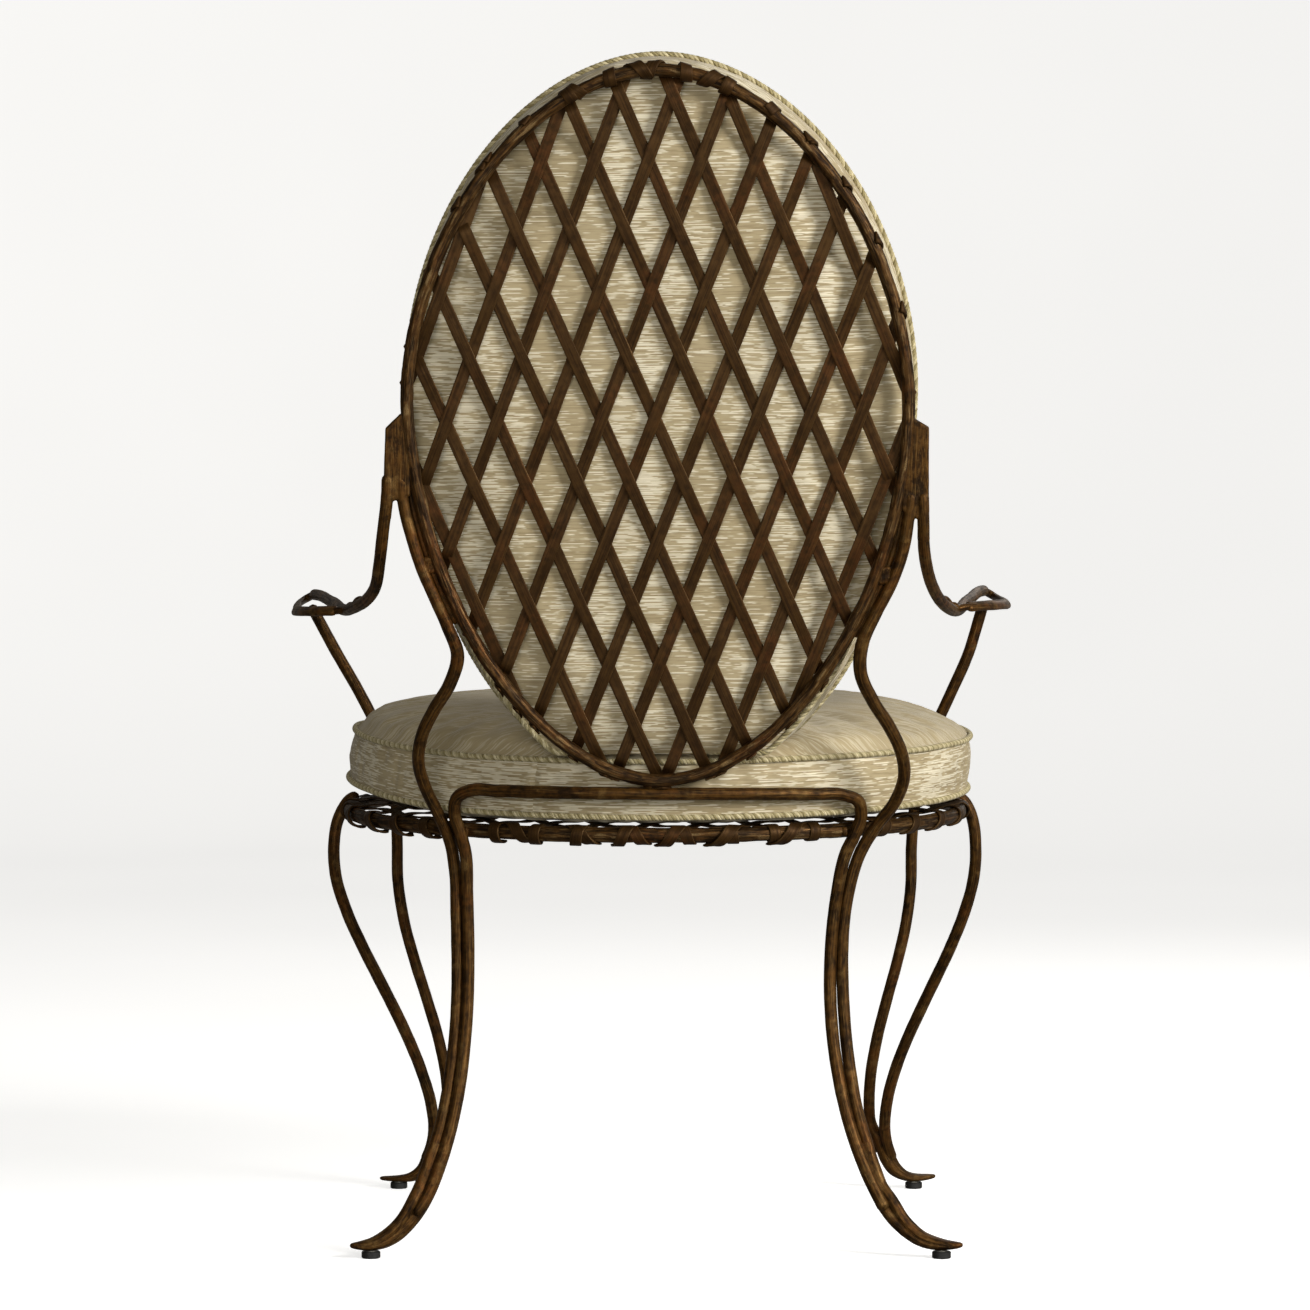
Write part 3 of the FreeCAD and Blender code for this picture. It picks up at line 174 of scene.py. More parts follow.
def tangents(path, closed=False):
    if closed:
        return unit(np.roll(path, -1, 0) - np.roll(path, 1, 0))
    t = np.empty_like(path)
    t[1:-1] = path[2:] - path[:-2]
    t[0], t[-1] = path[1] - path[0], path[-1] - path[-2]
    return unit(t)


def carry(path, up, closed=False):
    """Tangent and two cross directions along a path, without twist."""
    t = tangents(path, closed)
    n = np.empty_like(path)
    v = np.array(up, float) - t[0] * np.dot(up, t[0])
    n[0] = unit(v)
    for i in range(1, len(path)):
        v = n[i - 1] - t[i] * np.dot(n[i - 1], t[i])
        n[i] = v / np.linalg.norm(v)
    if closed:
        v = n[-1] - t[0] * np.dot(n[-1], t[0])
        v = unit(v)
        off = math.atan2(np.dot(np.cross(n[0], v), t[0]), np.dot(n[0], v))
        a = -off * np.arange(len(path)) / len(path)
        b = np.cross(t, n)
        n = n * np.cos(a)[:, None] + b * np.sin(a)[:, None]
    return t, n, np.cross(t, n)


# ------------------------------------------------------------------ meshes
def join(*parts):
    """Several (verts, quads, others, attributes) as one."""
    verts, quads, others, count = [], [], [], 0
    names = set(k for p in parts for k in p[3])
    kept = {k: [] for k in names}
    for v, q, o, a in parts:
        verts.append(v)
        quads.append(np.asarray(q, int).reshape(-1, 4) + count)
        others += [np.asarray(x, int) + count for x in o]
        for k in names:
            kept[k].append(a.get(k, np.zeros((len(v), 3) if k == "grain" else len(v))))
        count += len(v)
    return np.vstack(verts), np.vstack(quads), others, {k: np.concatenate(x) for k, x in kept.items()}


def write(mesh, key, values):
    """A number or a vector for each point of a mesh."""
    values = np.asarray(values, np.float32)
    kind, field = ("FLOAT_VECTOR", "vector") if values.ndim == 2 else ("FLOAT", "value")
    made = mesh.attributes.get(key) or mesh.attributes.new(key, kind, "POINT")
    made.data.foreach_set(field, values.ravel())


def make(name, part, material, smooth_faces=True, scale=0.001):
    verts, quads, others, attributes = part
    quads = np.asarray(quads, int).reshape(-1, 4)
    mesh = bpy.data.meshes.new(name)
    index = np.concatenate([quads.ravel()] + [np.asarray(o) for o in others]).astype(np.int32)
    sizes = np.concatenate([np.full(len(quads), 4), np.array([len(o) for o in others], int)]).astype(np.int32)
    starts = np.concatenate([[0], np.cumsum(sizes)[:-1]]).astype(np.int32)
    mesh.vertices.add(len(verts))
    mesh.vertices.foreach_set("co", (np.asarray(verts) * scale).astype(np.float32).ravel())
    mesh.loops.add(len(index))
    mesh.loops.foreach_set("vertex_index", index)
    mesh.polygons.add(len(sizes))
    mesh.polygons.foreach_set("loop_start", starts)
    mesh.polygons.foreach_set("use_smooth", np.full(len(sizes), smooth_faces))
    mesh.update(calc_edges=True)
    for key, values in attributes.items():
        write(mesh, key, values)
    mesh.materials.append(material)
    obj = bpy.data.objects.new(name, mesh)
    bpy.context.scene.collection.objects.link(obj)
    return obj


def grid(rings, closed):
    """Quads between rings of equal size; rings is (n, sides)."""
    n, sides = rings
    i = np.arange(n if closed else n - 1)[:, None]
    j = np.arange(sides)[None, :]
    k = (i + 1) % n
    m = (j + 1) % sides
    return np.stack(np.broadcast_arrays(i * sides + j, i * sides + m, k * sides + m, k * sides + j), -1).reshape(-1, 4)


def hash_of(point):
    return int(round(float(point[0]) * 3.1 + float(point[1]) * 7.7 + float(point[2]) * 1.9))


def skin(path, n, b, x, y, closed=False, attributes=None):
    """A tube: x and y are (rings, sides) offsets along n and b."""
    verts = path[:, None, :] + n[:, None, :] * x[..., None] + b[:, None, :] * y[..., None]
    rings, sides = x.shape
    quads = grid((rings, sides), closed)
    others = []
    if not closed:
        others = [np.arange(sides)[::-1], (rings - 1) * sides + np.arange(sides)]
    kept = {k: v.ravel() for k, v in (attributes or {}).items()}
    # Where each point is across and along the bar, in metres, for its grain.
    s = np.concatenate([[0], np.cumsum(np.linalg.norm(path[1:] - path[:-1], axis=1))])
    kept["grain"] = np.stack([x, y, np.broadcast_to(s[:, None] + 370.0 * (abs(hash_of(path[0])) % 7), x.shape)], -1).reshape(-1, 3) / 1000
    return verts.reshape(-1, 3), quads, others, kept


def bar(points, radius, step=2.5, sides=20, up=(0, 0, 1), closed=False, seed=1, dents=0.035, flat=None, round_ends=True, heights=None):
    """A forged rod: not quite round, not quite even."""
    path = curve(points, step, closed)
    t, n, b = carry(path, up, closed)
    a = 2 * np.pi * np.arange(sides) / sides
    r = np.full((len(path), sides), 1.0)
    wide, thick = flat if flat else (radius, radius)
    around = path[:, None, :] + n[:, None, :] * (radius * np.cos(a))[None, :, None] + b[:, None, :] * (radius * np.sin(a))[None, :, None]
    flatp = around.reshape(-1, 3)
    dent = fbm(flatp / 15.0, 2, seed).reshape(r.shape)
    fine = fbm(flatp / 3.6, 2, seed + 5).reshape(r.shape)
    r = r * (1 + dents * dent + 0.012 * fine)
    if heights:
        r = r * np.interp(path[:, 2], *heights)[:, None]
    if not closed and round_ends:
        s = np.linalg.norm(path - path[0], axis=1)
        e = np.linalg.norm(path - path[-1], axis=1)
        near = np.minimum(s, e) / radius
        r = r * np.sqrt(np.clip(1 - (1 - np.clip(near + 0.08, 0, 1)) ** 2, 0.02, 1))[:, None]
    wear = np.clip(dent * 1.1 + fine * 0.7, -1, 1)
    return skin(path, n, b, r * thick * np.cos(a), r * wide * np.sin(a), closed, {"wear": wear})


def bark_bar(path, radius, sides, normal, seed):
    """A closed ring of bar with a wood-grain, bark-like surface."""
    t, n, b = carry(path, normal, True)
    step = np.linalg.norm(path[1] - path[0])
    u = np.arange(len(path)) * step
    total = step * len(path)
    a = 2 * np.pi * np.arange(sides) / sides
    # The grain wanders round the bar a little as it runs along it.
    U, A = np.meshgrid(u, a, indexing="ij")

    def field(U):
        drift = 0.25 * noise(np.stack([U / 60, U * 0, U * 0], -1).reshape(-1, 3), seed + 9).reshape(U.shape)
        cx, cy = np.cos(A + drift), np.sin(A + drift)
        p = np.stack([cx * radius / 1.5, cy * radius / 1.5, U / 15.0], -1).reshape(-1, 3)
        q = np.stack([cx * radius / 3.2, cy * radius / 3.2, U / 26.0], -1).reshape(-1, 3)
        w = np.stack([cx * radius / 0.9, cy * radius / 0.9, U / 6.0], -1).reshape(-1, 3)
        grain = 1 - np.abs(noise(p, seed)) * 2.2
        broad = noise(q, seed + 1)
        hair = noise(w, seed + 2)
        return (0.55 * np.clip(grain, -0.4, 1) * -1 + 0.6 * broad + 0.22 * hair).reshape(U.shape)

    f = field(U)
    blend = 30.0
    w = smooth(U, 0, blend)
    other = field(U + total)
    f = f * w + other * (1 - w)
    lumps = noise(np.stack([np.cos(A) * 1.2, np.sin(A) * 1.2, U / 19.0], -1).reshape(-1, 3), seed + 3).reshape(U.shape)
    lumps = lumps * w + (1 - w) * noise(np.stack([np.cos(A) * 1.2, np.sin(A) * 1.2, (U + total) / 19.0], -1).reshape(-1, 3), seed + 3).reshape(U.shape)
    r = radius + 0.46 * f + 0.42 * lumps
    wear = np.clip(f * 1.5, -1, 1)
    return skin(path, n, b, r * np.cos(a), r * np.sin(a), True, {"wear": wear})


def strap(path, normals, width, thick, seed, extra, tilt):
    """A flat forged strap with eased edges along a path; its folded ends are
    heavier, and one edge of them stands up."""
    t = tangents(path)
    n = unit(normals - t * np.sum(normals * t, 1)[:, None])
    w = np.cross(t, n)
    # section points: across, through, and how light each is painted: the edges lighter, more on the face towards n, a
    # painted highlight partly standing for wear; the middles of the faces, most the lower one, a little darker as
    # painted shade
    a, c = width / 2, 0.55
    h = thick / 2
    sec = [(-a + c * 1.6, h, 0.25), (-a + c * 0.45, h - c * 0.22, 1), (-a, h - c, 0.8), (-a, -h + c, 0.2), (-a + c * 0.45, -h + c * 0.22, 0.6),
           (-a + c * 1.6, -h, 0), (0, -h - 0.06, -0.2), (a - c * 1.6, -h, 0), (a - c * 0.45, -h + c * 0.22, 0.6), (a, -h + c, 0.2), (a, h - c, 0.8),
           (a - c * 0.45, h - c * 0.22, 1), (a - c * 1.6, h, 0.25), (a * 0.4, h + 0.05, -0.1), (-a * 0.4, h + 0.05, -0.1)]
    sec = np.array(sec)
    wide = 1 + 0.022 * fbm(path / 16.0, 2, seed)
    lift = 0.12 * fbm(path / 22.0, 2, seed + 3)
    x = sec[None, :, 0] * wide[:, None]
    y = sec[None, :, 1] * extra[:, None] + lift[:, None]
    y = y - np.sum(tilt * w, 1)[:, None] * x * np.where(sec[None, :, 1] > 0, 0.4, 1.0)
    pos = path[:, None, :] + w[:, None, :] * x[..., None] + n[:, None, :] * y[..., None]
    fine = fbm(pos.reshape(-1, 3) / 5.0, 2, seed + 7).reshape(x.shape)
    y = y + 0.07 * fine * np.sign(sec[None, :, 1])
    x[0] *= 0.94
    x[-1] *= 0.94
    y[0] *= 0.75
    y[-1] *= 0.75
    # Painted highlight on the edges and painted shade on the lower face, mixed with random wear.
    wear = np.clip(sec[None, :, 2] + 0.45 * fine - 0.15, -1, 1)
    return skin(path, w, n, x, y, False, {"wear": wear})


def evaluated(obj, name=None):
    """The object's mesh with its modifiers applied."""
    graph = bpy.context.evaluated_depsgraph_get()
    mesh = bpy.data.meshes.new_from_object(obj.evaluated_get(graph), preserve_all_data_layers=True, depsgraph=graph)
    old = obj.data
    obj.modifiers.clear()
    obj.data = mesh
    if old.users == 0:
        bpy.data.meshes.remove(old)
    mesh.name = name or obj.name
    mesh.polygons.foreach_set("use_smooth", np.ones(len(mesh.polygons), bool))
    return obj


def grain_of(co, guides):
    """Places across and along the nearest of several bars."""
    best = np.full(len(co), 1e9)
    out = np.zeros((len(co), 3))
    for k, path in enumerate(guides):
        path = np.asarray(path, float)
        t, n, b = carry(path, (0.3, 0.2, 1.0))
        s = np.concatenate([[0], np.cumsum(np.linalg.norm(path[1:] - path[:-1], axis=1))])
        for first in range(0, len(co), 4000):
            q = co[first:first + 4000]
            d = np.linalg.norm(q[:, None, :] - path[None, :, :], axis=2)
            i = d.argmin(1)
            far = d[np.arange(len(q)), i]
            v = q - path[i]
            new = np.stack([np.sum(v * n[i], 1), np.sum(v * b[i], 1), s[i] + np.sum(v * t[i], 1) + 410.0 * k], 1)
            better = far < best[first:first + 4000]
            out[first:first + 4000][better] = new[better]
            best[first:first + 4000][better] = far[better]
    return out / 1000


def merged(name, parts, material, voxel=0.9, rounds=4, dent=0.12, seed=3, guides=None):
    """Overlapping closed parts forged into one smooth piece."""
    obj = make(name, join(*parts), material)
    m = obj.modifiers.new("merge", "REMESH")
    m.mode = "VOXEL"
    m.voxel_size = voxel / 1000
    m.use_smooth_shade = True
    s = obj.modifiers.new("ease", "SMOOTH")
    s.factor = 0.5
    s.iterations = rounds
    evaluated(obj)
    co = get(obj)
    normal = np.zeros(len(co) * 3, np.float32)
    obj.data.vertices.foreach_get("normal", normal)
    normal = normal.reshape(-1, 3)
    f = fbm(co / 14.0, 2, seed)
    g = fbm(co / 3.6, 2, seed + 5)
    put_back(obj, co + normal * (dent * f + 0.05 * g)[:, None])
    for key in ("wear", "grain"):
        old = obj.data.attributes.get(key)
        if old is not None:
            obj.data.attributes.remove(old)
    write(obj.data, "wear", np.clip(f * 1.1 + g * 0.6, -1, 1))
    write(obj.data, "grain", grain_of(co, guides) if guides else co / 1000)
    return obj


def get(obj):
    co = np.zeros(len(obj.data.vertices) * 3, np.float32)
    obj.data.vertices.foreach_get("co", co)
    return co.reshape(-1, 3).astype(float) * 1000


def put_back(obj, co):
    obj.data.vertices.foreach_set("co", (co / 1000).astype(np.float32).ravel())
    obj.data.update()


# --------------------------------------------------------------- materials
def srgb(r, g, b):
    return tuple((c / 255 / 12.92) if c <= 10 else ((c / 255 + 0.055) / 1.055) ** 2.4 for c in (r, g, b)) + (1.0,)


class Tree:
    """Short ways to add nodes."""

    def __init__(self, name):
        self.material = bpy.data.materials.new(name)
        self.material.use_nodes = True
        self.tree = self.material.node_tree
        self.tree.nodes.clear()
        self.out = self.tree.nodes.new("ShaderNodeOutputMaterial")
        self.shader = self.tree.nodes.new("ShaderNodeBsdfPrincipled")
        self.tree.links.new(self.shader.outputs[0], self.out.inputs["Surface"])

    def node(self, kind, **values):
        n = self.tree.nodes.new(kind)
        for k, v in values.items():
            setattr(n, k, v)
        return n

    def link(self, a, b):
        self.tree.links.new(a, b)

    def math(self, op, a, b=None, c=None, clamp=False):
        n = self.node("ShaderNodeMath", operation=op, use_clamp=clamp)
        for i, v in enumerate((a, b, c)):
            if v is None:
                continue
            if hasattr(v, "is_linked"):
                self.link(v, n.inputs[i])
            else:
                n.inputs[i].default_value = v
        return n.outputs[0]

    def scaled(self, source, scale):
        n = self.node("ShaderNodeVectorMath", operation="MULTIPLY")
        self.link(source, n.inputs[0])
        n.inputs[1].default_value = scale
        return n.outputs[0]

    def noise(self, vector, scale=1.0, detail=2.0, rough=0.5, kind="3D", distortion=0.0):
        n = self.node("ShaderNodeTexNoise", noise_dimensions=kind)
        self.link(vector, n.inputs["Vector"])
        n.inputs["Scale"].default_value = scale
        n.inputs["Detail"].default_value = detail
        n.inputs["Roughness"].default_value = rough
        n.inputs["Distortion"].default_value = distortion
        return n.outputs["Fac"]

    def range(self, value, a, b, c=0.0, d=1.0, smooth=True):
        n = self.node("ShaderNodeMapRange")
        n.interpolation_type = "SMOOTHSTEP" if smooth else "LINEAR"
        n.clamp = True
        self.link(value, n.inputs["Value"])
        for k, v in (("From Min", a), ("From Max", b), ("To Min", c), ("To Max", d)):
            n.inputs[k].default_value = v
        return n.outputs["Result"]

    def mix(self, fac, a, b, kind="MIX"):
        n = self.node("ShaderNodeMix", data_type="RGBA", blend_type=kind)
        for socket, v in ((n.inputs[0], fac), (n.inputs[6], a), (n.inputs[7], b)):
            if hasattr(v, "is_linked"):
                self.link(v, socket)
            else:
                socket.default_value = v
        return n.outputs[2]

    def bump(self, height, strength, distance, normal=None):
        n = self.node("ShaderNodeBump")
        n.inputs["Strength"].default_value = strength
        n.inputs["Distance"].default_value = distance
        self.link(height, n.inputs["Height"])
        if normal is not None:
            self.link(normal, n.inputs["Normal"])
        return n.outputs[0]


def iron(name, dark, mid, light, rust, rust_share=0.5, rough=0.5, grain=1.0, lines=0.4, flecks=0.3, long=1.0):
    """Brown wrought iron: long fine grain, rusty in patches, lighter where rubbed and darker in hollows; on the straps
    the lighter edges are a painted highlight and the darker face middles painted shade.
    """
    t = Tree(name)
    at = t.node("ShaderNodeTexCoord").outputs["Object"]
    own = t.node("ShaderNodeAttribute", attribute_name="grain").outputs["Vector"]
    wear = t.node("ShaderNodeAttribute", attribute_name="wear").outputs["Fac"]
    patch = t.noise(at, 15.0, 3.0, 0.55)
    mottle = t.noise(at, 130.0, 4.0, 0.62)
    speck = t.noise(at, 1300.0, 2.0, 0.65)
    streak = t.noise(t.scaled(own, (560.0, 560.0, 17.0 / long)), 1.0, 3.0, 0.6)
    hair = t.noise(t.scaled(own, (1500.0, 1500.0, 42.0 / long)), 1.0, 2.0, 0.6)
    tone = t.math("ADD", t.math("MULTIPLY", streak, 0.62), t.math("MULTIPLY", mottle, 0.38))
    base = t.mix(t.range(tone, 0.38, 0.62), dark, mid)
    rusty = t.math("MULTIPLY", t.range(patch, 0.48, 0.68), t.range(mottle, 0.34, 0.62))
    base = t.mix(t.math("MULTIPLY", rusty, rust_share), base, rust)
    base = t.mix(t.range(hair, 0.44, 0.3, 0.0, 0.6), base, (dark[0] * 0.3, dark[1] * 0.3, dark[2] * 0.3, 1))
    # Darker in the hollows of rods and bark; on the straps this is painted shade on the faces' middles.
    base = t.mix(t.range(wear, -0.15, -0.85, 0.0, 0.75), base, (dark[0] * 0.25, dark[1] * 0.25, dark[2] * 0.25, 1))
    base = t.mix(t.range(hair, 0.56, 0.72, 0.0, lines), base, light)
    # Lighter on raised, rubbed spots; on the straps this is a painted highlight along their edges.
    rubbed_and_painted_highlight = t.math("MULTIPLY", t.range(wear, 0.2, 0.95), t.range(speck, 0.36, 0.62, 0.3, 1.0))
    base = t.mix(t.math("MULTIPLY", rubbed_and_painted_highlight, flecks), base, light)
    fleck = t.math("MULTIPLY", t.range(speck, 0.64, 0.72), t.range(mottle, 0.5, 0.62))
    base = t.mix(t.math("MULTIPLY", fleck, flecks), base, light)
    t.link(base, t.shader.inputs["Base Color"])
    t.link(t.range(tone, 0.35, 0.65, rough + 0.1, rough - 0.1), t.shader.inputs["Roughness"])
    t.shader.inputs["Metallic"].default_value = 0.5
    t.shader.inputs["Specular IOR Level"].default_value = 0.14
    first = t.bump(mottle, 0.3 * grain, 0.0010)
    second = t.bump(streak, 0.5 * grain, 0.0007, first)
    third = t.bump(hair, 0.4 * grain, 0.0003, second)
    t.link(third, t.shader.inputs["Normal"])
    return t.material


STRAP_IRON = iron("strap_iron", srgb(48, 30, 9), srgb(64, 43, 17), srgb(120, 96, 60), srgb(82, 44, 17), 0.4, 0.55, 0.5, 0.06, 0.25, 1.6)
ROD_IRON = iron("rod_iron", srgb(40, 24, 6), srgb(84, 56, 21), srgb(150, 118, 68), srgb(98, 55, 18), 0.5, 0.5, 1.0, 0.32, 0.3)
BARK_IRON = iron("bark_iron", srgb(44, 27, 8), srgb(82, 56, 25), srgb(154, 128, 86), srgb(94, 51, 18), 0.45, 0.52, 1.2, 0.3, 0.5, 0.9)


def cloth(name, strength=1.0):
    """A slubbed silk-like weave: straight pale thick-and-thin weft on a tan ground."""
    t = Tree(name)
    uv = t.node("ShaderNodeUVMap", uv_map="weave").outputs["UV"]
    split = t.node("ShaderNodeSeparateXYZ")
    t.link(uv, split.inputs[0])
    u, v = split.outputs[0], split.outputs[1]
    # Broad soft bands across the weft where more slubs lie together.
    drift = t.noise(t.scaled(uv, (3.0, 5.0, 1.0)), 1.0, 1.0, 0.5, "2D")
    phase = t.math("ADD", t.math("MULTIPLY", u, 2 * math.pi / 0.178), t.math("MULTIPLY", drift, 7.0))
    band = t.math("MULTIPLY_ADD", t.math("COSINE", phase), 0.5, 0.5)

    def rows(pitch, across, seed, low, high, bias):
        """Threads of one height, each with its own thick and thin lengths."""
        r = t.math("DIVIDE", v, pitch)
        row = t.math("FLOOR", r)
        at = t.node("ShaderNodeCombineXYZ")
        t.link(t.math("MULTIPLY_ADD", u, across, seed), at.inputs[0])
        t.link(t.math("MULTIPLY", row, 3.717), at.inputs[1])
        fac = t.noise(at.outputs[0], 1.0, 2.0, 0.5, "2D")
        fac = t.math("ADD", fac, t.math("MULTIPLY", band, bias))
        hump = t.math("SINE", t.math("MULTIPLY", t.math("FRACT", r), math.pi))
        return t.math("MULTIPLY", t.range(fac, low, high), t.math("POWER", hump, 1.3))

    thin = rows(0.00108, 36.0, 3.0, 0.57, 0.66, 0.11)
    thick = rows(0.00185, 26.0, 41.0, 0.645, 0.715, 0.12)
    dim = rows(0.00108, 30.0, 77.0, 0.44, 0.66, 0.0)
    pale = t.math("MAXIMUM", thin, t.math("MULTIPLY", thick, 0.95))
    warp = t.math("SINE", t.math("MULTIPLY", u, 2 * math.pi / 0.0011))
    weft = t.math("SINE", t.math("MULTIPLY", v, 2 * math.pi / 0.00064))
    weave = t.math("MULTIPLY_ADD", t.math("MULTIPLY", warp, weft), 0.5, 0.5)
    broad = t.noise(t.scaled(uv, (9.0, 11.0, 1.0)), 1.0, 2.0, 0.5, "2D")
    ground = t.mix(t.math("MULTIPLY", dim, strength), srgb(167, 152, 118), srgb(133, 116, 84))
    ground = t.mix(t.math("MULTIPLY", weave, 0.2), ground, srgb(122, 108, 82))
    ground = t.mix(t.math("MULTIPLY", t.range(broad, 0.4, 0.7), 0.25), ground, srgb(178, 164, 132))
    colour = t.mix(t.math("MULTIPLY", pale, 0.88 * strength), ground, srgb(228, 220, 196))
    t.link(colour, t.shader.inputs["Base Color"])
    t.link(t.range(pale, 0.0, 1.0, 0.74, 0.5), t.shader.inputs["Roughness"])
    t.shader.inputs["Sheen Weight"].default_value = 0.12
    t.shader.inputs["Sheen Roughness"].default_value = 0.45
    t.shader.inputs["Specular IOR Level"].default_value = 0.25
    first = t.bump(weave, 0.2, 0.0002)
    second = t.bump(pale, 0.4, 0.0004, first)
    t.link(second, t.shader.inputs["Normal"])
    return t.material


CLOTH = cloth("slub_cloth")
# The seat's top is rubbed smoother, so its threads show less.
SEAT_CLOTH = cloth("slub_cloth_rubbed", 0.42)


def cord_material(name):
    t = Tree(name)
    at = t.node("ShaderNodeTexCoord").outputs["Object"]
    ply = t.node("ShaderNodeAttribute", attribute_name="ply").outputs["Fac"]
    proud = t.node("ShaderNodeAttribute", attribute_name="proud").outputs["Fac"]
    own = t.node("ShaderNodeAttribute", attribute_name="grain").outputs["Vector"]
    fibre = t.noise(t.scaled(own, (1300.0, 1300.0, 260.0)), 1.0, 3.0, 0.6)
    drift = t.noise(at, 45.0, 2.0, 0.5)
    olive = t.mix(t.range(fibre, 0.35, 0.65), srgb(112, 100, 64), srgb(158, 146, 104))
    cream = t.mix(t.range(fibre, 0.35, 0.65), srgb(164, 151, 112), srgb(208, 197, 160))
    base = t.mix(ply, olive, cream)
    # Painted shade: each ply is darkened on its side turned into the cord, in the grooves between plies.
    base = t.mix(t.range(proud, 0.35, -0.35, 0.0, 0.7), base, srgb(70, 60, 36))
    base = t.mix(t.math("MULTIPLY", t.range(drift, 0.4, 0.7), 0.25), base, srgb(132, 118, 80))
    t.link(base, t.shader.inputs["Base Color"])
    t.link(t.range(fibre, 0.3, 0.7, 0.6, 0.8), t.shader.inputs["Roughness"])
    t.shader.inputs["Sheen Weight"].default_value = 0.1
    t.shader.inputs["Specular IOR Level"].default_value = 0.25
    t.link(t.bump(fibre, 0.6, 0.0004), t.shader.inputs["Normal"])
    return t.material


CORD = cord_material("welt_cord")


def plastic():
    t = Tree("glide_plastic")
    at = t.node("ShaderNodeTexCoord").outputs["Object"]
    fine = t.noise(at, 700.0, 3.0, 0.6)
    scuff = t.noise(at, 90.0, 4.0, 0.7)
    t.link(t.mix(t.range(scuff, 0.5, 0.75, 0.0, 0.5), srgb(16, 15, 14), srgb(54, 50, 46)), t.shader.inputs["Base Color"])
    t.link(t.range(fine, 0.3, 0.7, 0.4, 0.62), t.shader.inputs["Roughness"])
    t.link(t.bump(fine, 0.3, 0.0003), t.shader.inputs["Normal"])
    return t.material


def zinc():
    t = Tree("stud_zinc")
    at = t.node("ShaderNodeTexCoord").outputs["Object"]
    fine = t.noise(at, 500.0, 3.0, 0.6)
    t.link(t.mix(t.range(fine, 0.35, 0.7), srgb(120, 116, 108), srgb(170, 166, 156)), t.shader.inputs["Base Color"])
    t.link(t.range(fine, 0.3, 0.7, 0.3, 0.5), t.shader.inputs["Roughness"])
    t.shader.inputs["Metallic"].default_value = 0.9
    t.link(t.bump(fine, 0.3, 0.0002), t.shader.inputs["Normal"])
    return t.material


def piece(obj, body, slot, *nodes):
    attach(obj, body)
    if nodes:
        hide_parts(*nodes)
    return obj


# ------------------------------------------------------- rods of the frame
LEFT_UPRIGHT = [
    (229.8, 358.9, 720.0), (228.6, 355.7, 695.5), (221.8, 352.0, 666.2), (212.6, 349.4, 637.2), (200.8, 345.8, 609.5),
    (189.6, 340.0, 584.0), (180.6, 331.1, 557.5), (188.2, 320.6, 530.7), (203.2, 309.5, 506.8),
    (215.0, 296.1, 482.6), (219.0, 280.5, 457.5), (213.0, 264.6, 432.6), (201.8, 251.3, 408.0),
    (191.3, 242.2, 381.3), (186.7, 239.3, 351.9), (185.7, 239.1, 321.8), (185.0, 238.6, 291.7),
    (184.6, 239.4, 261.7), (185.0, 242.2, 231.8), (186.6, 246.6, 202.1), (189.8, 252.4, 172.7),
    (194.2, 259.2, 143.8), (200.2, 266.8, 115.5), (209.6, 275.3, 87.6), (218.0, 282.0, 64.0),
    (226.5, 287.6, 46.0)]
RIGHT_UPRIGHT = [
    (-232.6, 357.6, 706.0), (-230.4, 353.6, 679.2), (-225.3, 348.8, 649.9), (-215.1, 345.3, 621.8), (-201.5, 341.9, 595.1),
    (-189.5, 335.7, 568.3), (-188.5, 324.9, 540.5), (-200.1, 313.6, 515.2), (-215.3, 301.7, 492.0),
    (-227.2, 287.5, 468.3), (-231.0, 271.4, 443.3), (-222.8, 256.3, 418.9), (-206.2, 245.8, 396.1),
    (-191.3, 241.0, 370.5), (-182.4, 239.2, 341.8), (-177.3, 238.4, 312.1), (-175.2, 238.6, 282.1),
    (-175.3, 240.3, 252.0), (-176.6, 243.5, 222.0), (-179.0, 248.3, 192.4), (-182.7, 254.5, 163.1),
    (-187.8, 261.6, 134.4), (-195.8, 269.4, 106.3), (-204.2, 277.5, 79.3), (-215.0, 285.0, 54.2),
    (-223.0, 288.6, 42.0)]
LEFT_INNER = [
    (222.0, 292.3, 38.5), (213.0, 288.6, 51.5), (200.4, 280.0, 81.0), (188.4, 267.7, 122.1), (180.9, 257.6, 162.7),
    (176.8, 249.4, 204.4), (174.7, 243.8, 246.8), (174.6, 241.3, 289.5), (175.6, 242.7, 332.2),
    (176.9, 247.6, 372.0), (181.6, 250.7, 391.0), (187.0, 254.5, 410.0), (184.0, 260.5, 424.0),
    (172.0, 268.0, 430.8), (145.0, 281.5, 431.0), (100.0, 300.0, 430.6), (50.0, 312.2, 430.3)]
RIGHT_INNER = [
    (-50.0, 312.2, 429.6), (-100.0, 300.0, 429.0), (-147.0, 280.5, 428.0), (-176.0, 266.0, 426.5),
    (-189.5, 257.5, 420.0), (-192.3, 253.2, 408.0), (-186.4, 250.2, 389.5), (-178.3, 247.6, 372.0),
    (-169.9, 242.7, 332.5), (-165.0, 241.3, 289.5), (-163.5, 243.9, 246.2), (-165.6, 249.6, 203.4),
    (-171.4, 258.0, 161.2), (-180.9, 268.2, 120.2), (-194.8, 279.8, 80.8), (-213.2, 291.9, 43.6)]
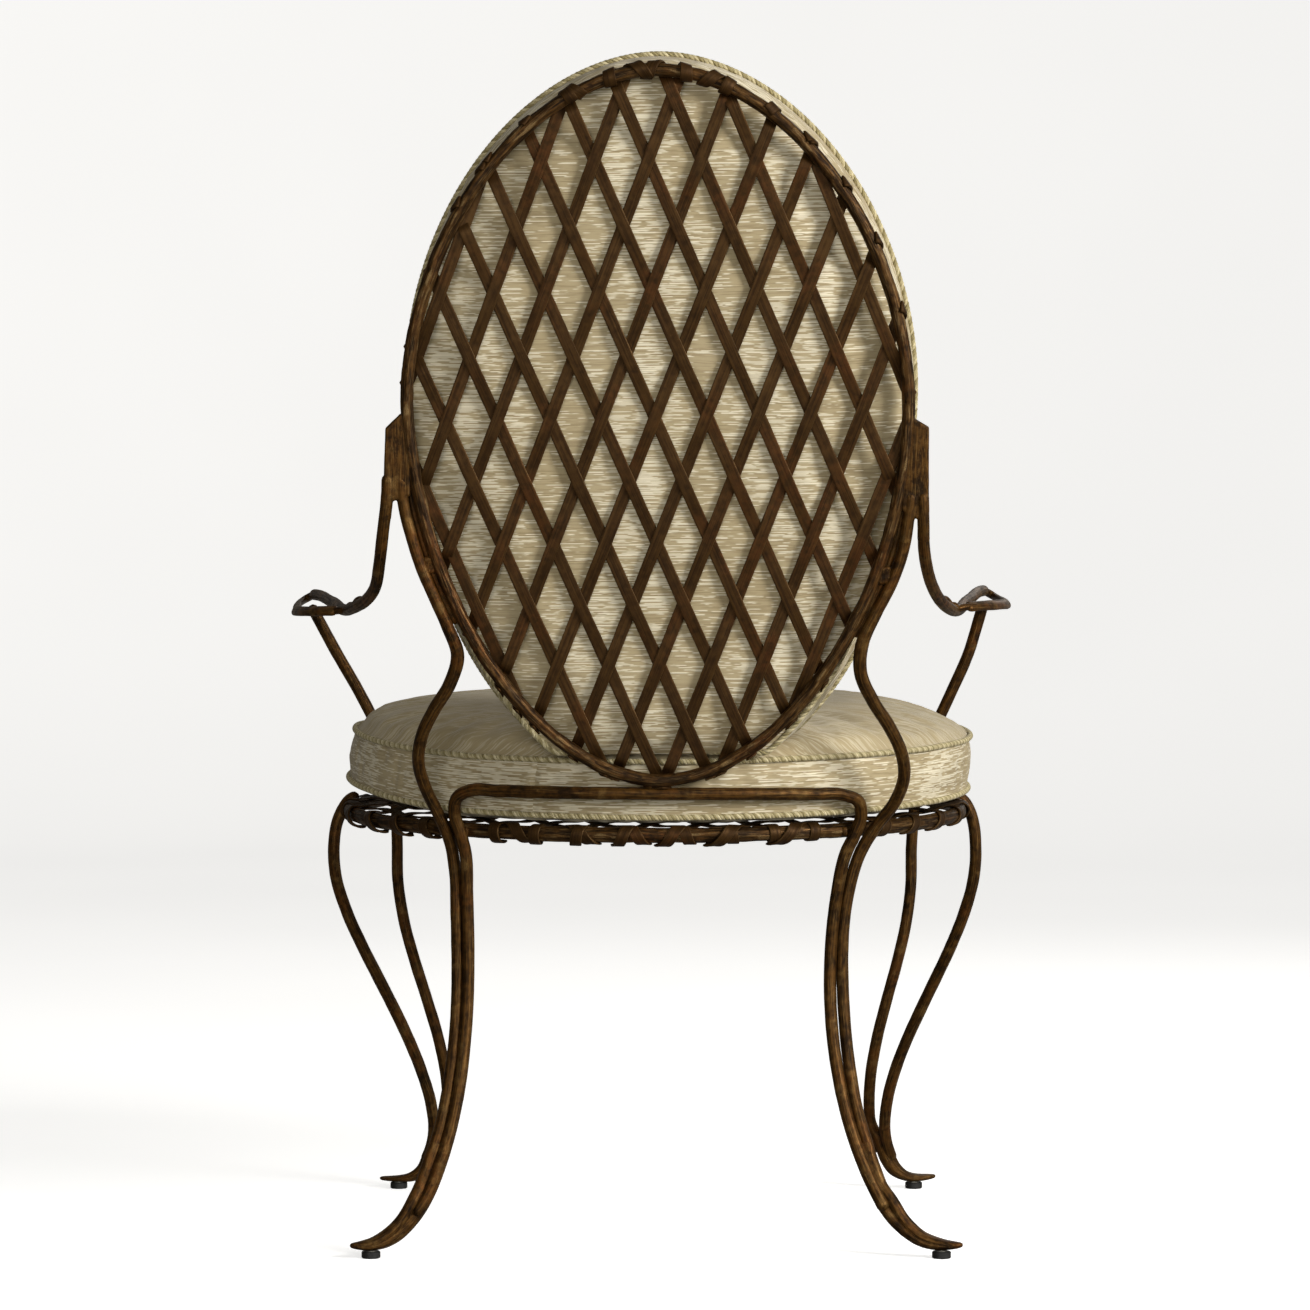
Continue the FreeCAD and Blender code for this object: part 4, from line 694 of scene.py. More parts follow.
LEFT_OUTER = [
    (295.5, -60.0, 411.5), (304.0, -60.1, 408.2), (311.6, -60.3, 398.5), (317.6, -60.9, 384.0),
    (320.6, -62.0, 364.0), (319.5, -68.7, 332.2), (309.3, -78.5, 295.5), (294.9, -90.2, 260.7),
    (279.3, -103.9, 227.2), (264.1, -119.2, 194.2), (250.1, -135.7, 161.2), (238.2, -152.8, 127.7),
    (229.4, -169.9, 93.3), (227.3, -187.4, 58.2), (237.0, -203.0, 29.0)]
RIGHT_OUTER = [
    (-295.5, -60.0, 411.5), (-304.0, -60.1, 408.2), (-310.8, -60.3, 398.5), (-315.4, -60.9, 384.0),
    (-317.6, -62.3, 364.0), (-316.6, -68.7, 332.1), (-308.1, -78.4, 295.5), (-295.5, -90.3, 260.8),
    (-281.3, -104.0, 227.4), (-267.0, -119.0, 194.6), (-253.6, -135.2, 162.0), (-242.4, -152.0, 128.8),
    (-234.8, -169.1, 94.9), (-233.5, -186.5, 60.3), (-242.0, -202.5, 30.5)]
LEFT_POST = [
    (349.8, -146.5, 601.5), (342.8, -148.2, 588.5), (323.4, -151.9, 552.3), (303.1, -155.7, 516.6), (284.7, -159.7, 479.9),
    (271.3, -164.1, 441.2), (264.8, -168.3, 400.7), (263.5, -171.2, 359.6), (262.7, -172.4, 318.3),
    (256.5, -173.8, 277.6), (245.9, -175.8, 237.8), (233.7, -178.7, 198.5), (222.4, -182.6, 159.0),
    (214.6, -187.9, 118.9), (213.2, -194.8, 78.3), (220.6, -203.1, 38.7)]
RIGHT_POST = [
    (-333.9, -147.0, 604.5), (-329.0, -148.2, 588.5), (-315.8, -152.1, 550.2), (-299.2, -156.1, 513.2), (-282.6, -160.2, 476.1),
    (-269.4, -164.5, 437.8), (-262.8, -168.6, 398.0), (-259.5, -171.2, 357.4), (-259.0, -172.4, 316.7),
    (-254.1, -173.8, 276.3), (-245.2, -175.8, 236.5), (-234.7, -178.8, 197.2), (-225.1, -182.8, 157.8),
    (-218.6, -188.1, 118.0), (-217.9, -194.9, 77.8), (-225.1, -203.1, 38.6)]
LEFT_ARM = [
    (242.8, 359.3, 722.0), (244.2, 355.4, 695.5), (247.6, 348.0, 671.3), (252.0, 327.9, 643.2), (257.4, 300.6, 620.4),
    (267.4, 269.8, 607.9), (279.6, 237.1, 601.5), (288.7, 203.4, 598.5), (295.7, 169.0, 598.4),
    (301.3, 134.5, 600.0), (306.2, 99.8, 602.4), (311.0, 65.2, 604.3), (316.2, 30.5, 605.5),
    (321.4, -4.1, 606.9), (326.6, -38.8, 608.6), (332.3, -73.3, 610.4), (338.7, -107.8, 611.7),
    (346.1, -142.0, 612.3)]
RIGHT_ARM = [
    (-243.6, 357.6, 706.0), (-244.2, 352.5, 679.0), (-245.7, 337.8, 655.0), (-250.9, 313.9, 632.0), (-258.6, 285.7, 615.6),
    (-267.5, 255.0, 605.0), (-276.2, 223.0, 599.4), (-283.5, 190.2, 597.5), (-289.3, 157.1, 598.4),
    (-294.2, 123.8, 600.9), (-298.5, 90.6, 603.8), (-303.0, 57.3, 605.9), (-307.6, 24.0, 607.5),
    (-312.3, -9.3, 609.4), (-317.0, -42.6, 611.7), (-322.1, -75.8, 614.0), (-327.6, -108.9, 615.7),
    (-333.9, -142.0, 616.4)]
LEFT_LOOP = [
    (346.3, -142.4, 612.2), (350.3, -153.2, 610.6), (356.0, -155.4, 607.6), (360.0, -146.0, 604.6),
    (360.8, -126.0, 602.4), (359.6, -98.0, 601.4), (357.2, -65.5, 600.7), (355.6, -42.0, 600.2),
    (354.0, -18.4, 599.6), (352.4, 5.1, 599.1), (350.8, 28.7, 598.6), (349.1, 52.2, 598.1),
    (347.5, 75.7, 597.7), (345.8, 99.3, 597.3), (342.9, 122.7, 597.0), (337.3, 145.6, 596.8),
    (327.2, 166.9, 596.9), (312.1, 184.9, 597.2), (300.0, 193.6, 597.5)]
RIGHT_LOOP = [
    (-334.0, -142.4, 616.3), (-337.8, -153.2, 614.6), (-343.6, -155.4, 611.4), (-348.0, -146.0, 608.4),
    (-349.9, -126.0, 606.6), (-349.8, -98.0, 605.8), (-348.4, -66.2, 605.5), (-347.5, -42.7, 605.1),
    (-346.5, -19.2, 604.8), (-345.3, 4.2, 604.4), (-343.8, 27.7, 604.0), (-342.0, 51.1, 603.7),
    (-339.9, 74.5, 603.5), (-337.3, 97.9, 603.3), (-333.6, 121.1, 603.2), (-327.5, 143.8, 603.0),
    (-318.0, 165.2, 602.5), (-304.2, 184.1, 601.7), (-294.0, 193.5, 601.0)]
LEFT_CURL = [(284.0, 202.5, 600.5), (281.5, 205.5, 604.5), (278.5, 209.5, 607.6), (274.6, 215.0, 607.0), (273.6, 219.0, 603.6)]
RIGHT_CURL = [(-279.0, 202.5, 600.5), (-276.5, 205.5, 604.8), (-273.2, 209.5, 608.2), (-269.2, 215.0, 607.6), (-268.0, 219.0, 604.2)]
REAR_TOE = [(221.8, 288.0, 45.6, 6.0, 10.8), (229.1, 290.0, 34.7, 6.4, 9.9), (240.2, 292.3, 23.2, 7.4, 9.0),
            (250.3, 294.3, 16.8, 8.2, 8.0), (261.0, 296.3, 13.0, 8.5, 6.0), (272.0, 299.3, 11.9, 7.3, 4.1),
            (281.4, 302.0, 12.3, 4.2, 2.3)]
REAR_TOE_R = [(-217.3, 287.6, 46.6, 6.0, 10.6), (-225.2, 289.8, 35.2, 6.4, 9.6), (-235.2, 292.0, 25.2, 7.4, 8.6),
              (-246.6, 294.3, 17.4, 8.2, 7.4), (-260.0, 296.3, 13.4, 8.5, 6.2), (-273.0, 299.3, 12.3, 7.3, 4.2),
              (-284.0, 302.0, 13.0, 4.2, 2.3)]
FRONT_TOE = [(226.0, -198.5, 50.0, 6.0, 9.4), (231.6, -201.5, 32.5, 6.4, 9.0), (240.5, -205.0, 18.0, 7.4, 7.0),
             (252.4, -208.6, 11.8, 8.2, 4.7), (264.5, -212.0, 10.2, 8.5, 3.2), (275.4, -216.0, 9.6, 7.3, 2.6),
             (284.0, -219.5, 9.6, 4.2, 1.8)]
FRONT_TOE_R = [(-231.6, -198.0, 50.0, 6.0, 9.0), (-237.0, -201.3, 33.5, 6.4, 8.6), (-245.0, -204.8, 20.5, 7.4, 7.4),
               (-255.6, -208.6, 13.4, 8.2, 5.4), (-267.0, -212.0, 11.1, 8.5, 4.1), (-278.0, -216.0, 11.2, 7.3, 3.1),
               (-287.4, -219.5, 12.0, 4.2, 2.0)]


def chair(points):
    """Points measured from the seat's centre, in the chair's frame."""
    return [(p[0], p[1] + SEAT_CY, p[2]) for p in points]


def oval(w, up, down, power, count, low_power=None):
    a = 2 * np.pi * np.arange(count) / count
    c, s = np.cos(a), np.sin(a)
    p = np.full(count, power)
    if low_power:
        p = np.where(s > 0, power, power + low_power * np.minimum(1, -2 * s))
    x = w * np.sign(c) * np.abs(c) ** (2 / p)
    y = np.where(s > 0, up, down) * np.sign(s) * np.abs(s) ** (2 / p)
    return np.stack([x, y, 0 * x], 1)


ring_points = oval(227.3, 299.6, 348.4, 1.85, 32)
# It stands a little off the middle, more so towards its foot.
ring_points[:, 0] += 2.6 + 0.0075 * np.maximum(0.0, -ring_points[:, 1])
ring_path = curve(ring_points, 1.5, True)


def groove_fill(upright, sign, low, high):
    """Weld metal deep in the groove between an upright and the oval ring."""
    q = put(BACK, ring_path)
    q = q[q[:, 0] * sign > 40]
    q = q[q[:, 2].argsort()]
    u = curve(chair(upright), 2.5)
    u = u[u[:, 2].argsort()]
    z = np.arange(low, high, 6.0)
    mid = np.stack([(np.interp(z, q[:, 2], q[:, i]) + np.interp(z, u[:, 2], u[:, i])) / 2 for i in range(3)], 1)
    mid[:, 1] -= 4.8
    return bar(mid, 3.5, step=2.5, sides=16, seed=33 + sign, dents=0.05)


RODS = {
    "rear_rail_rod": (LEFT_INNER + [(0.0, 316.0, 430.0)] + RIGHT_INNER, 5.9),
    "rear_upright_left": (LEFT_UPRIGHT, 5.8), "rear_upright_right": (RIGHT_UPRIGHT, 5.8),
    "front_leg_outer_left": (LEFT_OUTER, 5.9), "front_leg_outer_right": (RIGHT_OUTER, 5.9),
    "front_leg_post_left": (LEFT_POST, 5.8), "front_leg_post_right": (RIGHT_POST, 5.8),
    "arm_rod_left": (LEFT_ARM, 5.6), "arm_rod_right": (RIGHT_ARM, 5.6),
}
# The uprights are drawn a little thinner beside the ring.
THINNED = ([0, 430, 520, 560, 600, 760], [1.0, 1.0, 1.05, 1.08, 0.93, 0.93])
for k, (node, (points, radius)) in enumerate(RODS.items()):
    if "front_leg" in node and "right" in node:
        points = [(x - 2.6 * min(1.0, max(0.0, (600.0 - z) / 60.0)), y, z) for x, y, z in points]
    part = bar(chair(points), radius, seed=11 + 7 * k, up=(0, 1, 0) if "rail" in node else (0, 0, 1), heights=THINNED if "upright" in node else None)
    if "upright" in node:
        part = join(part, groove_fill(points, 1 if "left" in node else -1, 586.0 if "left" in node else 574.0, 722.0 if "left" in node else 716.0))
    piece(make(node + "_forged", part, ROD_IRON), "frame", "ironwork", node)

for side, sign, loop, curl in (("left", 1, LEFT_LOOP, LEFT_CURL), ("right", -1, RIGHT_LOOP, RIGHT_CURL)):
    part = bar(chair(loop), 4.6, seed=90 + sign, flat=(5.5, 3.5), up=(0, 0, 1), dents=0.05)
    piece(make("arm_loop_%s_forged" % side, part, ROD_IRON), "frame", "ironwork", "arm_loop_" + side)
    # The bar's end is drawn thin and curls up over the rod.
    knot = bar(chair([loop[-2], loop[-1], curl[0], curl[1], curl[2], curl[3], curl[4]]), 3.6, step=1.2, sides=16, seed=70 + sign, dents=0.08)
    c = np.array(chair([curl[0]])[0])
    lump = bar([c + (5.5 * sign, -3.5, -1.5), c + (2 * sign, 0, 0), c + (-1 * sign, 3, 0.5)], 5.6, step=1.2, sides=18, seed=50 + sign, dents=0.12)
    line = curve(chair([loop[-2], loop[-1], curl[0], curl[1], curl[2], curl[3], curl[4]]), 2.0)
    merged_knot = merged("arm_curl_%s_forged" % side, [knot, lump], ROD_IRON, 0.7, 3, 0.3, guides=[line])
    piece(merged_knot, "frame", "ironwork", "arm_curl_" + side)


# ------------------------------------------------------------------ feet
def along(points, low, high):
    """The stretch of a rod between two heights, finely sampled."""
    p = curve(chair(points), 2.0)
    inside = (p[:, 2] > low) & (p[:, 2] < high)
    return p[inside]


def leg_end(points, radius, stations, sign, top=104.0, sides=26):
    """A rod that comes down beside its twin and is drawn out flat with it
    into the toe; sign tells which of the two lies uppermost there."""
    s = np.array(stations, float)
    c = np.array(chair(s[:, :3]))
    t = tangents(c)
    across = unit(np.cross(t, (0, 0, 1.0)))
    up = np.cross(across, t)
    thin = np.minimum(radius, 0.6 * s[:, 4] + 0.7)
    off = np.maximum(0.0, s[:, 4] - thin)
    drawn = c + up * (sign * off)[:, None]
    rod = along(points, c[0, 2] + 14.0, top)
    if rod[0, 2] < rod[-1, 2]:
        rod = rod[::-1]
    rod = rod[::5]
    control = np.vstack([rod, drawn])
    path = curve(control, 1.5)
    mark = np.concatenate([[0], np.cumsum(np.linalg.norm(control[1:] - control[:-1], axis=1))])
    at = np.concatenate([[0], np.cumsum(np.linalg.norm(path[1:] - path[:-1], axis=1))])
    mark = mark * at[-1] / mark[-1]
    wide = np.interp(at, mark, np.concatenate([np.full(len(rod), radius), np.maximum(radius, s[:, 3])]))
    wide = np.where(at > mark[-2], np.interp(at, mark, np.concatenate([np.full(len(rod), radius), s[:, 3]])), wide)
    high = np.interp(at, mark, np.concatenate([np.full(len(rod), radius), thin]))
    t = tangents(path)
    across = unit(np.cross(t, (0, 0, 1.0)))
    up = np.cross(across, t)
    a = 2 * np.pi * np.arange(sides) / sides
    end = np.linalg.norm(path - path[-1], axis=1)
    tip = np.sqrt(np.clip(1 - (1 - np.clip(end / 5.0 + 0.05, 0, 1)) ** 2, 0.03, 1))
    x = (wide * tip)[:, None] * np.cos(a)
    y = (high * (0.35 + 0.65 * tip))[:, None] * np.sin(a)
    return skin(path, across, up, x, y), path


FEET = (("toe_rear_left", REAR_TOE, LEFT_UPRIGHT, LEFT_INNER, 5.8, 5.9), ("toe_rear_right", REAR_TOE_R, RIGHT_UPRIGHT, RIGHT_INNER, 5.8, 5.9),
        ("toe_front_left", FRONT_TOE, LEFT_OUTER, LEFT_POST, 5.9, 5.8), ("toe_front_right", FRONT_TOE_R, RIGHT_OUTER, RIGHT_POST, 5.9, 5.8))
for k, (node, stations, one, two, r1, r2) in enumerate(FEET):
    if node == "toe_front_right":
        one, two = [[(x - 2.6, y, z) for x, y, z in q] for q in (one, two)]
        stations = [(x - 2.2, y, z, deep, tall) for x, y, z, deep, tall in stations]
    (upper, a), (lower, b) = leg_end(one, r1, stations, 1), leg_end(two, r2, stations, -1)
    parts = [upper, lower]
    # A little weld metal lies in the groove where the rods run side by side.
    low = np.linspace(58.0, 100.0, 22)
    one_at = np.stack([np.interp(low, a[::-1, 2], a[::-1, i]) for i in range(3)], 1)
    two_at = np.stack([np.interp(low, b[::-1, 2], b[::-1, i]) for i in range(3)], 1)
    gap = np.linalg.norm(one_at - two_at, axis=1)
    near = gap < r1 + r2 + 5.0
    if near.sum() > 4:
        parts.append(bar(((one_at + two_at) / 2)[near], 3.0, step=2.0, sides=14, seed=51 + k, dents=0.06))
    foot = merged(node + "_forged", parts, ROD_IRON, 0.8, 2, 0.16, 60 + k, guides=[a, b])
    co = get(foot)
    # Nothing of the foot goes into the glide under it.
    co[:, 2] = np.maximum(co[:, 2], 6.9)
    put_back(foot, co)
    piece(foot, "frame", "ironwork", node)


# ------------------------------------------------------------- the two rings
seat_angle = 2 * np.pi * np.arange(1250) / 1250
seat_path = np.stack([RS * np.cos(seat_angle), RS * np.sin(seat_angle), 0 * seat_angle], 1)
back_ring = bark_bar(ring_path, BAR_BACK, 44, (0, 0, 1), 5)
back_ring = (put(BACK, back_ring[0]),) + back_ring[1:]
piece(make("back_ring_bark", back_ring, BARK_IRON), "frame", "ironwork", "back_ring")
seat_ring = bark_bar(seat_path, BAR_SEAT, 48, (0, 0, 1), 25)
seat_ring = (put(SEAT, seat_ring[0]),) + seat_ring[1:]
piece(make("seat_ring_bark", seat_ring, BARK_IRON), "frame", "ironwork", "seat_ring")

# ------------------------------------------------------------- the lattices
BACK_FALLING = [(244.8, 0.432), (199.0, 0.447), (151.4, 0.444), (103.4, 0.443), (56.7, 0.445), (7.5, 0.444),
                (-40.8, 0.441), (-88.4, 0.436), (-136.0, 0.436), (-183.6, 0.428), (-232.1, 0.408)]
BACK_RISING = [(229.4, -0.366), (181.8, -0.368), (136.0, -0.376), (88.4, -0.380), (41.7, -0.384), (-6.3, -0.392),
               (-52.6, -0.390), (-98.8, -0.391), (-146.0, -0.391), (-191.8, -0.386), (-237.6, -0.391)]
BACK_FALLING = [(-x, -m) for x, m in BACK_FALLING]
BACK_RISING = [(-x, -m) for x, m in BACK_RISING]
LEAN = 3 * 47.0 / RS
SEAT_FALLING = [((k + 0.5) * 47.0, LEAN) for k in range(-7, 7)]
SEAT_RISING = [((k + 0.5) * 47.0, -LEAN) for k in range(-7, 7)]


class Ring:
    """A ring's centre line, to look up where straps meet it."""

    def __init__(self, path):
        self.path = path
        self.n = len(path)
        self.step = np.linalg.norm(path[1] - path[0])
        self.total = self.n * self.step
        self.t = tangents(path, True)
        self.out = np.cross(self.t, (0, 0, 1.0))

    def at(self, s):
        k = (s / self.step) % self.n
        i = int(k) % self.n
        f = k - int(k)
        j = (i + 1) % self.n
        p = self.path[i] * (1 - f) + self.path[j] * f
        t = unit(self.t[i] * (1 - f) + self.t[j] * f)
        return p, t, unit(np.cross(t, (0, 0, 1.0)))

    def meet(self, line, ref):
        x0, m = line
        v = self.path[:, 0] - (x0 + m * (self.path[:, 1] - ref))
        out = []
        for k in range(self.n):
            a, b = v[k], v[(k + 1) % self.n]
            if a == 0 or a * b < 0:
                out.append((k + a / (a - b)) * self.step)
        return out

    def near(self, p):
        """Distance of each point from the ring's line."""
        d = []
        for k in range(0, len(p), 200):
            q = p[k:k + 200, None, :2] - self.path[None, ::2, :2]
            d.append(np.sqrt((q ** 2).sum(-1).min(1)))
        return np.concatenate(d)


def woven(line, others, parity, ref, lift):
    """Height of a strap above the weave plane, at lengths along it."""
    x0, m = line
    norm = math.hypot(1, m)
    marks = sorted(((o[0] - x0) / (m - o[1]) * norm, s) for o, s in zip(others, parity))
    u = np.array([q[0] for q in marks])
    z = np.array([q[1] for q in marks]) * lift

    def height(v):
        k = np.clip(np.searchsorted(u, v) - 1, 0, len(u) - 2)
        f = np.clip((v - u[k]) / (u[k + 1] - u[k]), 0, 1)
        # Flat over each crossing, then an S to the next.
        f = smooth(f, 0.16, 0.84)
        return z[k] * (1 - f) + z[k + 1] * f

    return height


def lattice(ring, falling, rising, ref, z0, lift, wrap, step=2.4):
    """Both families of straps, each carried round the ring at its ends."""
    out = {"falling": [], "rising": []}
    for family, lines, others in (("falling", falling, rising), ("rising", rising, falling)):
        for i, line in enumerate(lines):
            meets = ring.meet(line, ref)
            if len(meets) != 2:
                continue
            x0, m = line
            norm = math.hypot(1, m)
            d = np.array([m / norm, 1 / norm, 0])
            origin = np.array([x0, ref, 0.0])
            ends = sorted((np.dot(ring.at(s)[0] - origin, d), s) for s in meets)
            if ends[1][0] - ends[0][0] < 90:
                continue
            if family == "falling":
                parity = [-1 if (i - j) % 2 == 0 else 1 for j in range(len(others))]
            else:
                parity = [1 if (j - i) % 2 == 0 else -1 for j in range(len(others))]
            height = woven(line, others, parity, ref, lift)
            u = np.arange(ends[0][0] + 2.0, ends[1][0] - 1.0, step)
            p = origin + d * u[:, None]
            p[:, 2] = z0 + height(u)
            normals = np.tile((0.0, 0.0, 1.0), (len(u), 1))
            first, last = wrap(family, ring, ends[0][1], -d), wrap(family, ring, ends[1][1], d)
            dist = ring.near(p)
            p, normals = first["near"](p, normals, dist)
            path = np.vstack([first["points"][::-1], p, last["points"]])
            norms = np.vstack([first["normals"][::-1], normals, last["normals"]])
            extra = np.concatenate([first["extra"][::-1], np.ones(len(p)), last["extra"]])
            tilt = np.vstack([first["tilt"][::-1], np.zeros((len(p), 3)), last["tilt"]])
            # One even spacing, with the face direction carried along.
            length = np.concatenate([[0], np.cumsum(np.linalg.norm(path[1:] - path[:-1], axis=1))])
            at = np.linspace(0, length[-1], int(length[-1] / step))
            path = np.stack([np.interp(at, length, path[:, c]) for c in range(3)], 1)
            norms = unit(np.stack([np.interp(at, length, norms[:, c]) for c in range(3)], 1))
            extra = np.interp(at, length, extra)
            tilt = np.stack([np.interp(at, length, tilt[:, c]) for c in range(3)], 1)
            for _ in range(2):
                path[1:-1] = path[1:-1] * 0.5 + (path[:-2] + path[2:]) * 0.25
                norms[1:-1] = unit(norms[1:-1] * 0.5 + (norms[:-2] + norms[2:]) * 0.25)
            out[family].append((path, norms, extra, tilt))
    return out


def back_wrap(family, ring, s, d):
    """The strap passes in front of the ring and folds round its outer side.
    High up it comes right over to the rear; lower down it stops short."""
    p, t, e = ring.at(s)
    dr, dt = float(np.dot(d, e)), float(np.dot(d, t))
    k = max(-0.62, min(0.62, dt / max(0.2, dr)))
    top = float(smooth(p[1], 235.0, 288.0))
    vary = float(noise([[s / 31.0, 0.5, 0.5]], 77)[0])
    upper = p[1] > (118.0 if p[0] < 0 else 55.0)
    if upper:
        last = 232.0 + 118.0 * top + 12.0 * vary
    elif p[1] < -215.0:
        last = 206.0 + 10.0 * vary
    else:
        last = 146.0
    pts, nrm, extra, tilt = [], [], [], []
    for psi in np.arange(112.0, last, 9.0):
        a = math.radians(psi)
        grow = float(smooth(psi, 150.0, 195.0)) if upper else 0.0
        rw = BAR_BACK + 1.05 + 0.45 * grow
        q, tq, eq = ring.at(s + k * rw * (a - math.pi / 2))
        nn = -math.cos(a) * eq + np.array([0, 0, -math.sin(a)])
        pts.append(q + nn * rw)
        nrm.append(-nn)
        extra.append(1.0 + 0.55 * grow)
        # One edge of the fold stands up from the ring.
        up_edge = 1.0 if top > 0.35 else -1.0
        side = tq if tq[1] * up_edge > 0 else -tq
        tilt.append(side * (0.15 + 0.05 * vary) * grow)
    pts, nrm = np.array(pts), np.array(nrm)

    def near(points, normals, dist):
        w = smooth(13.0 - dist, 0.0, 9.5)
        points = points.copy()
        points[:, 2] = points[:, 2] * (1 - w) - (BAR_BACK + 1.05) * w
        return points, normals

    return {"points": pts, "normals": nrm, "near": near, "extra": np.array(extra), "tilt": np.array(tilt)}


SEAT_BLOCKS = [(math.degrees(math.atan2(y, x)) % 360, half) for x, y, half in
               ((186, 241, 5.5), (-186, 241, 5.5), (299, -60, 3.6), (-299, -60, 3.6), (265, -168, 3.4), (-265, -168, 3.4))]


def seat_wrap(family, ring, s, d):
    """The strap goes over the ring, slants down its outside and tucks under."""
    p, t, e = ring.at(s)
    dr, dt = float(np.dot(d, e)), float(np.dot(d, t))
    k = max(-0.75, min(0.75, dt / max(0.2, dr)))
    angle = math.degrees(math.atan2(p[1], p[0])) % 360
    blocked = any(abs((angle - c + 180) % 360 - 180) < half for c, half in SEAT_BLOCKS)
    last = 62.0 if blocked else -128.0
    over = 1.75 if family == "falling" else 0.0
    pts, nrm = [], []
    for phi in np.arange(78.0, last, -8.0):
        a = math.radians(phi)
        rw = BAR_SEAT + 1.0 + over * float(smooth(70.0 - phi, 0.0, 40.0))
        q, tq, eq = ring.at(s + k * rw * (math.pi / 2 - a))
        nn = math.cos(a) * eq + np.array([0, 0, math.sin(a)])
        pts.append(q + nn * rw)
        nrm.append(nn)
    pts, nrm = np.array(pts), np.array(nrm)

    def near(points, normals, dist):
        w = smooth(11.0 - dist, 0.0, 9.0)
        points = points.copy()
        points[:, 2] = points[:, 2] * (1 - w) + (BAR_SEAT + 1.0) * w
        return points, normals

    extra = 1.0 + 0.25 * smooth(np.arange(len(pts)), 2, 6)
    return {"points": pts, "normals": nrm, "near": near, "extra": extra, "tilt": np.zeros((len(pts), 3))}


back_line = Ring(ring_path)
seat_line = Ring(seat_path)
for name, ring, falling, rising, ref, z0, lift, wrap, at, width, thick in (
        ("back", back_line, BACK_FALLING, BACK_RISING, 2.3, 0.0, 1.2, back_wrap, BACK, 11.2, 1.9),
        ("seat", seat_line, SEAT_FALLING, SEAT_RISING, 0.0, 6.2, 1.15, seat_wrap, SEAT, 11.0, 1.8)):
    made = lattice(ring, falling, rising, ref, z0, lift, wrap)
    for family, straps in made.items():
        parts = []
        for k, (path, normals, extra, tilt) in enumerate(straps):
            parts.append(strap(put(at, path), turn(at, normals), width, thick, 100 + 13 * k + (5 if family == "rising" else 0), extra, turn(at, tilt)))
        node = "%s_straps_%s" % (name, family)
        piece(make(node + "_forged", join(*parts), STRAP_IRON), "frame", "ironwork", node)


# ------------------------------------------- plates, webs, block, weld beads
def back_y(z):
    return (z - 787.0) / math.cos(math.radians(8.0))


def prism(corners, half, bevel=1.6, fine=3.0):
    """A forged plate with eased edges, in the back's frame."""
    c = np.array([(-x, back_y(z)) for x, z in corners])
    if np.cross(c[1] - c[0], c[2] - c[1]) > 0:
        c = c[::-1]
    # densify the outline
    pts = []
    for a, b in zip(c, np.roll(c, -1, 0)):
        n = max(2, int(np.linalg.norm(b - a) / fine))
        pts += [a + (b - a) * k / n for k in range(n)]
    c = np.array(pts)
    mid = c.mean(0)
    t = unit(np.roll(c, -1, 0) - np.roll(c, 1, 0))
    inward = np.stack([t[:, 1], -t[:, 0]], 1)
    if np.mean(np.sum(inward * (mid - c), 1)) < 0:
        inward = -inward
    rings = []
    for z, inset in ((-half, bevel), (-half + bevel * 0.3, bevel * 0.3), (-half + bevel, 0), (half - bevel, 0), (half - bevel * 0.3, bevel * 0.3), (half, bevel)):
        q = c + inward * inset
        rings.append(np.column_stack([q, np.full(len(q), z)]))
    v = np.vstack(rings)
    n = len(c)
    quads = grid((6, n), False)
    return put(BACK, v), quads, [np.arange(n)[::-1], 5 * n + np.arange(n)], {}


PLATE_LEFT = [(221.0, 775.0), (231.0, 777.0), (244.6, 764.0), (246.4, 717.0), (248.6, 703.0), (238.0, 698.0), (222.0, 703.0)]
PLATE_RIGHT = [(-226.5, 772.5), (-233.0, 774.2), (-248.4, 765.0), (-248.9, 706.0), (-249.6, 689.0), (-238.0, 682.0), (-224.0, 689.0)]


def ring_arc(s0, s1, grow=0.0):
    out = [back_line.at(s)[0] for s in np.arange(s0, s1, 3.0)]
    return bar(put(BACK, np.array(out)), BAR_BACK + grow, step=2.5, dents=0.03, seed=8)


def ring_s(x_sign, z):
    """Length along the ring where its side passes a height."""
    y = back_y(z)
    k = [i for i in range(back_line.n) if np.sign(back_line.path[i, 0]) == x_sign]
    i = min(k, key=lambda i: abs(back_line.path[i, 1] - y))
    return i * back_line.step


for side, sign, corners, upright, arm, slots in (
        ("left", 1, PLATE_LEFT, LEFT_UPRIGHT, LEFT_ARM, (634.0, 207.5)),
        ("right", -1, PLATE_RIGHT, RIGHT_UPRIGHT, RIGHT_ARM, (626.0, -206.5))):
    top = curve(chair(upright), 2.5)
    arm_top = curve(chair(arm), 2.5)
    bottom = 672.0 if sign > 0 else 655.0
    parts = [prism(corners, 4.6), bar(top[top[:, 2] > bottom], 5.5, seed=3, dents=0.02), bar(arm_top[arm_top[:, 2] > bottom + 4], 5.7, seed=4, dents=0.02)]
    piece(merged("back_plate_%s_forged" % side, parts, ROD_IRON, 0.9, 5, 0.25, 80 + sign, guides=[top[top[:, 2] > bottom], arm_top[arm_top[:, 2] > bottom + 4]]), "frame", "ironwork", "back_plate_" + side)

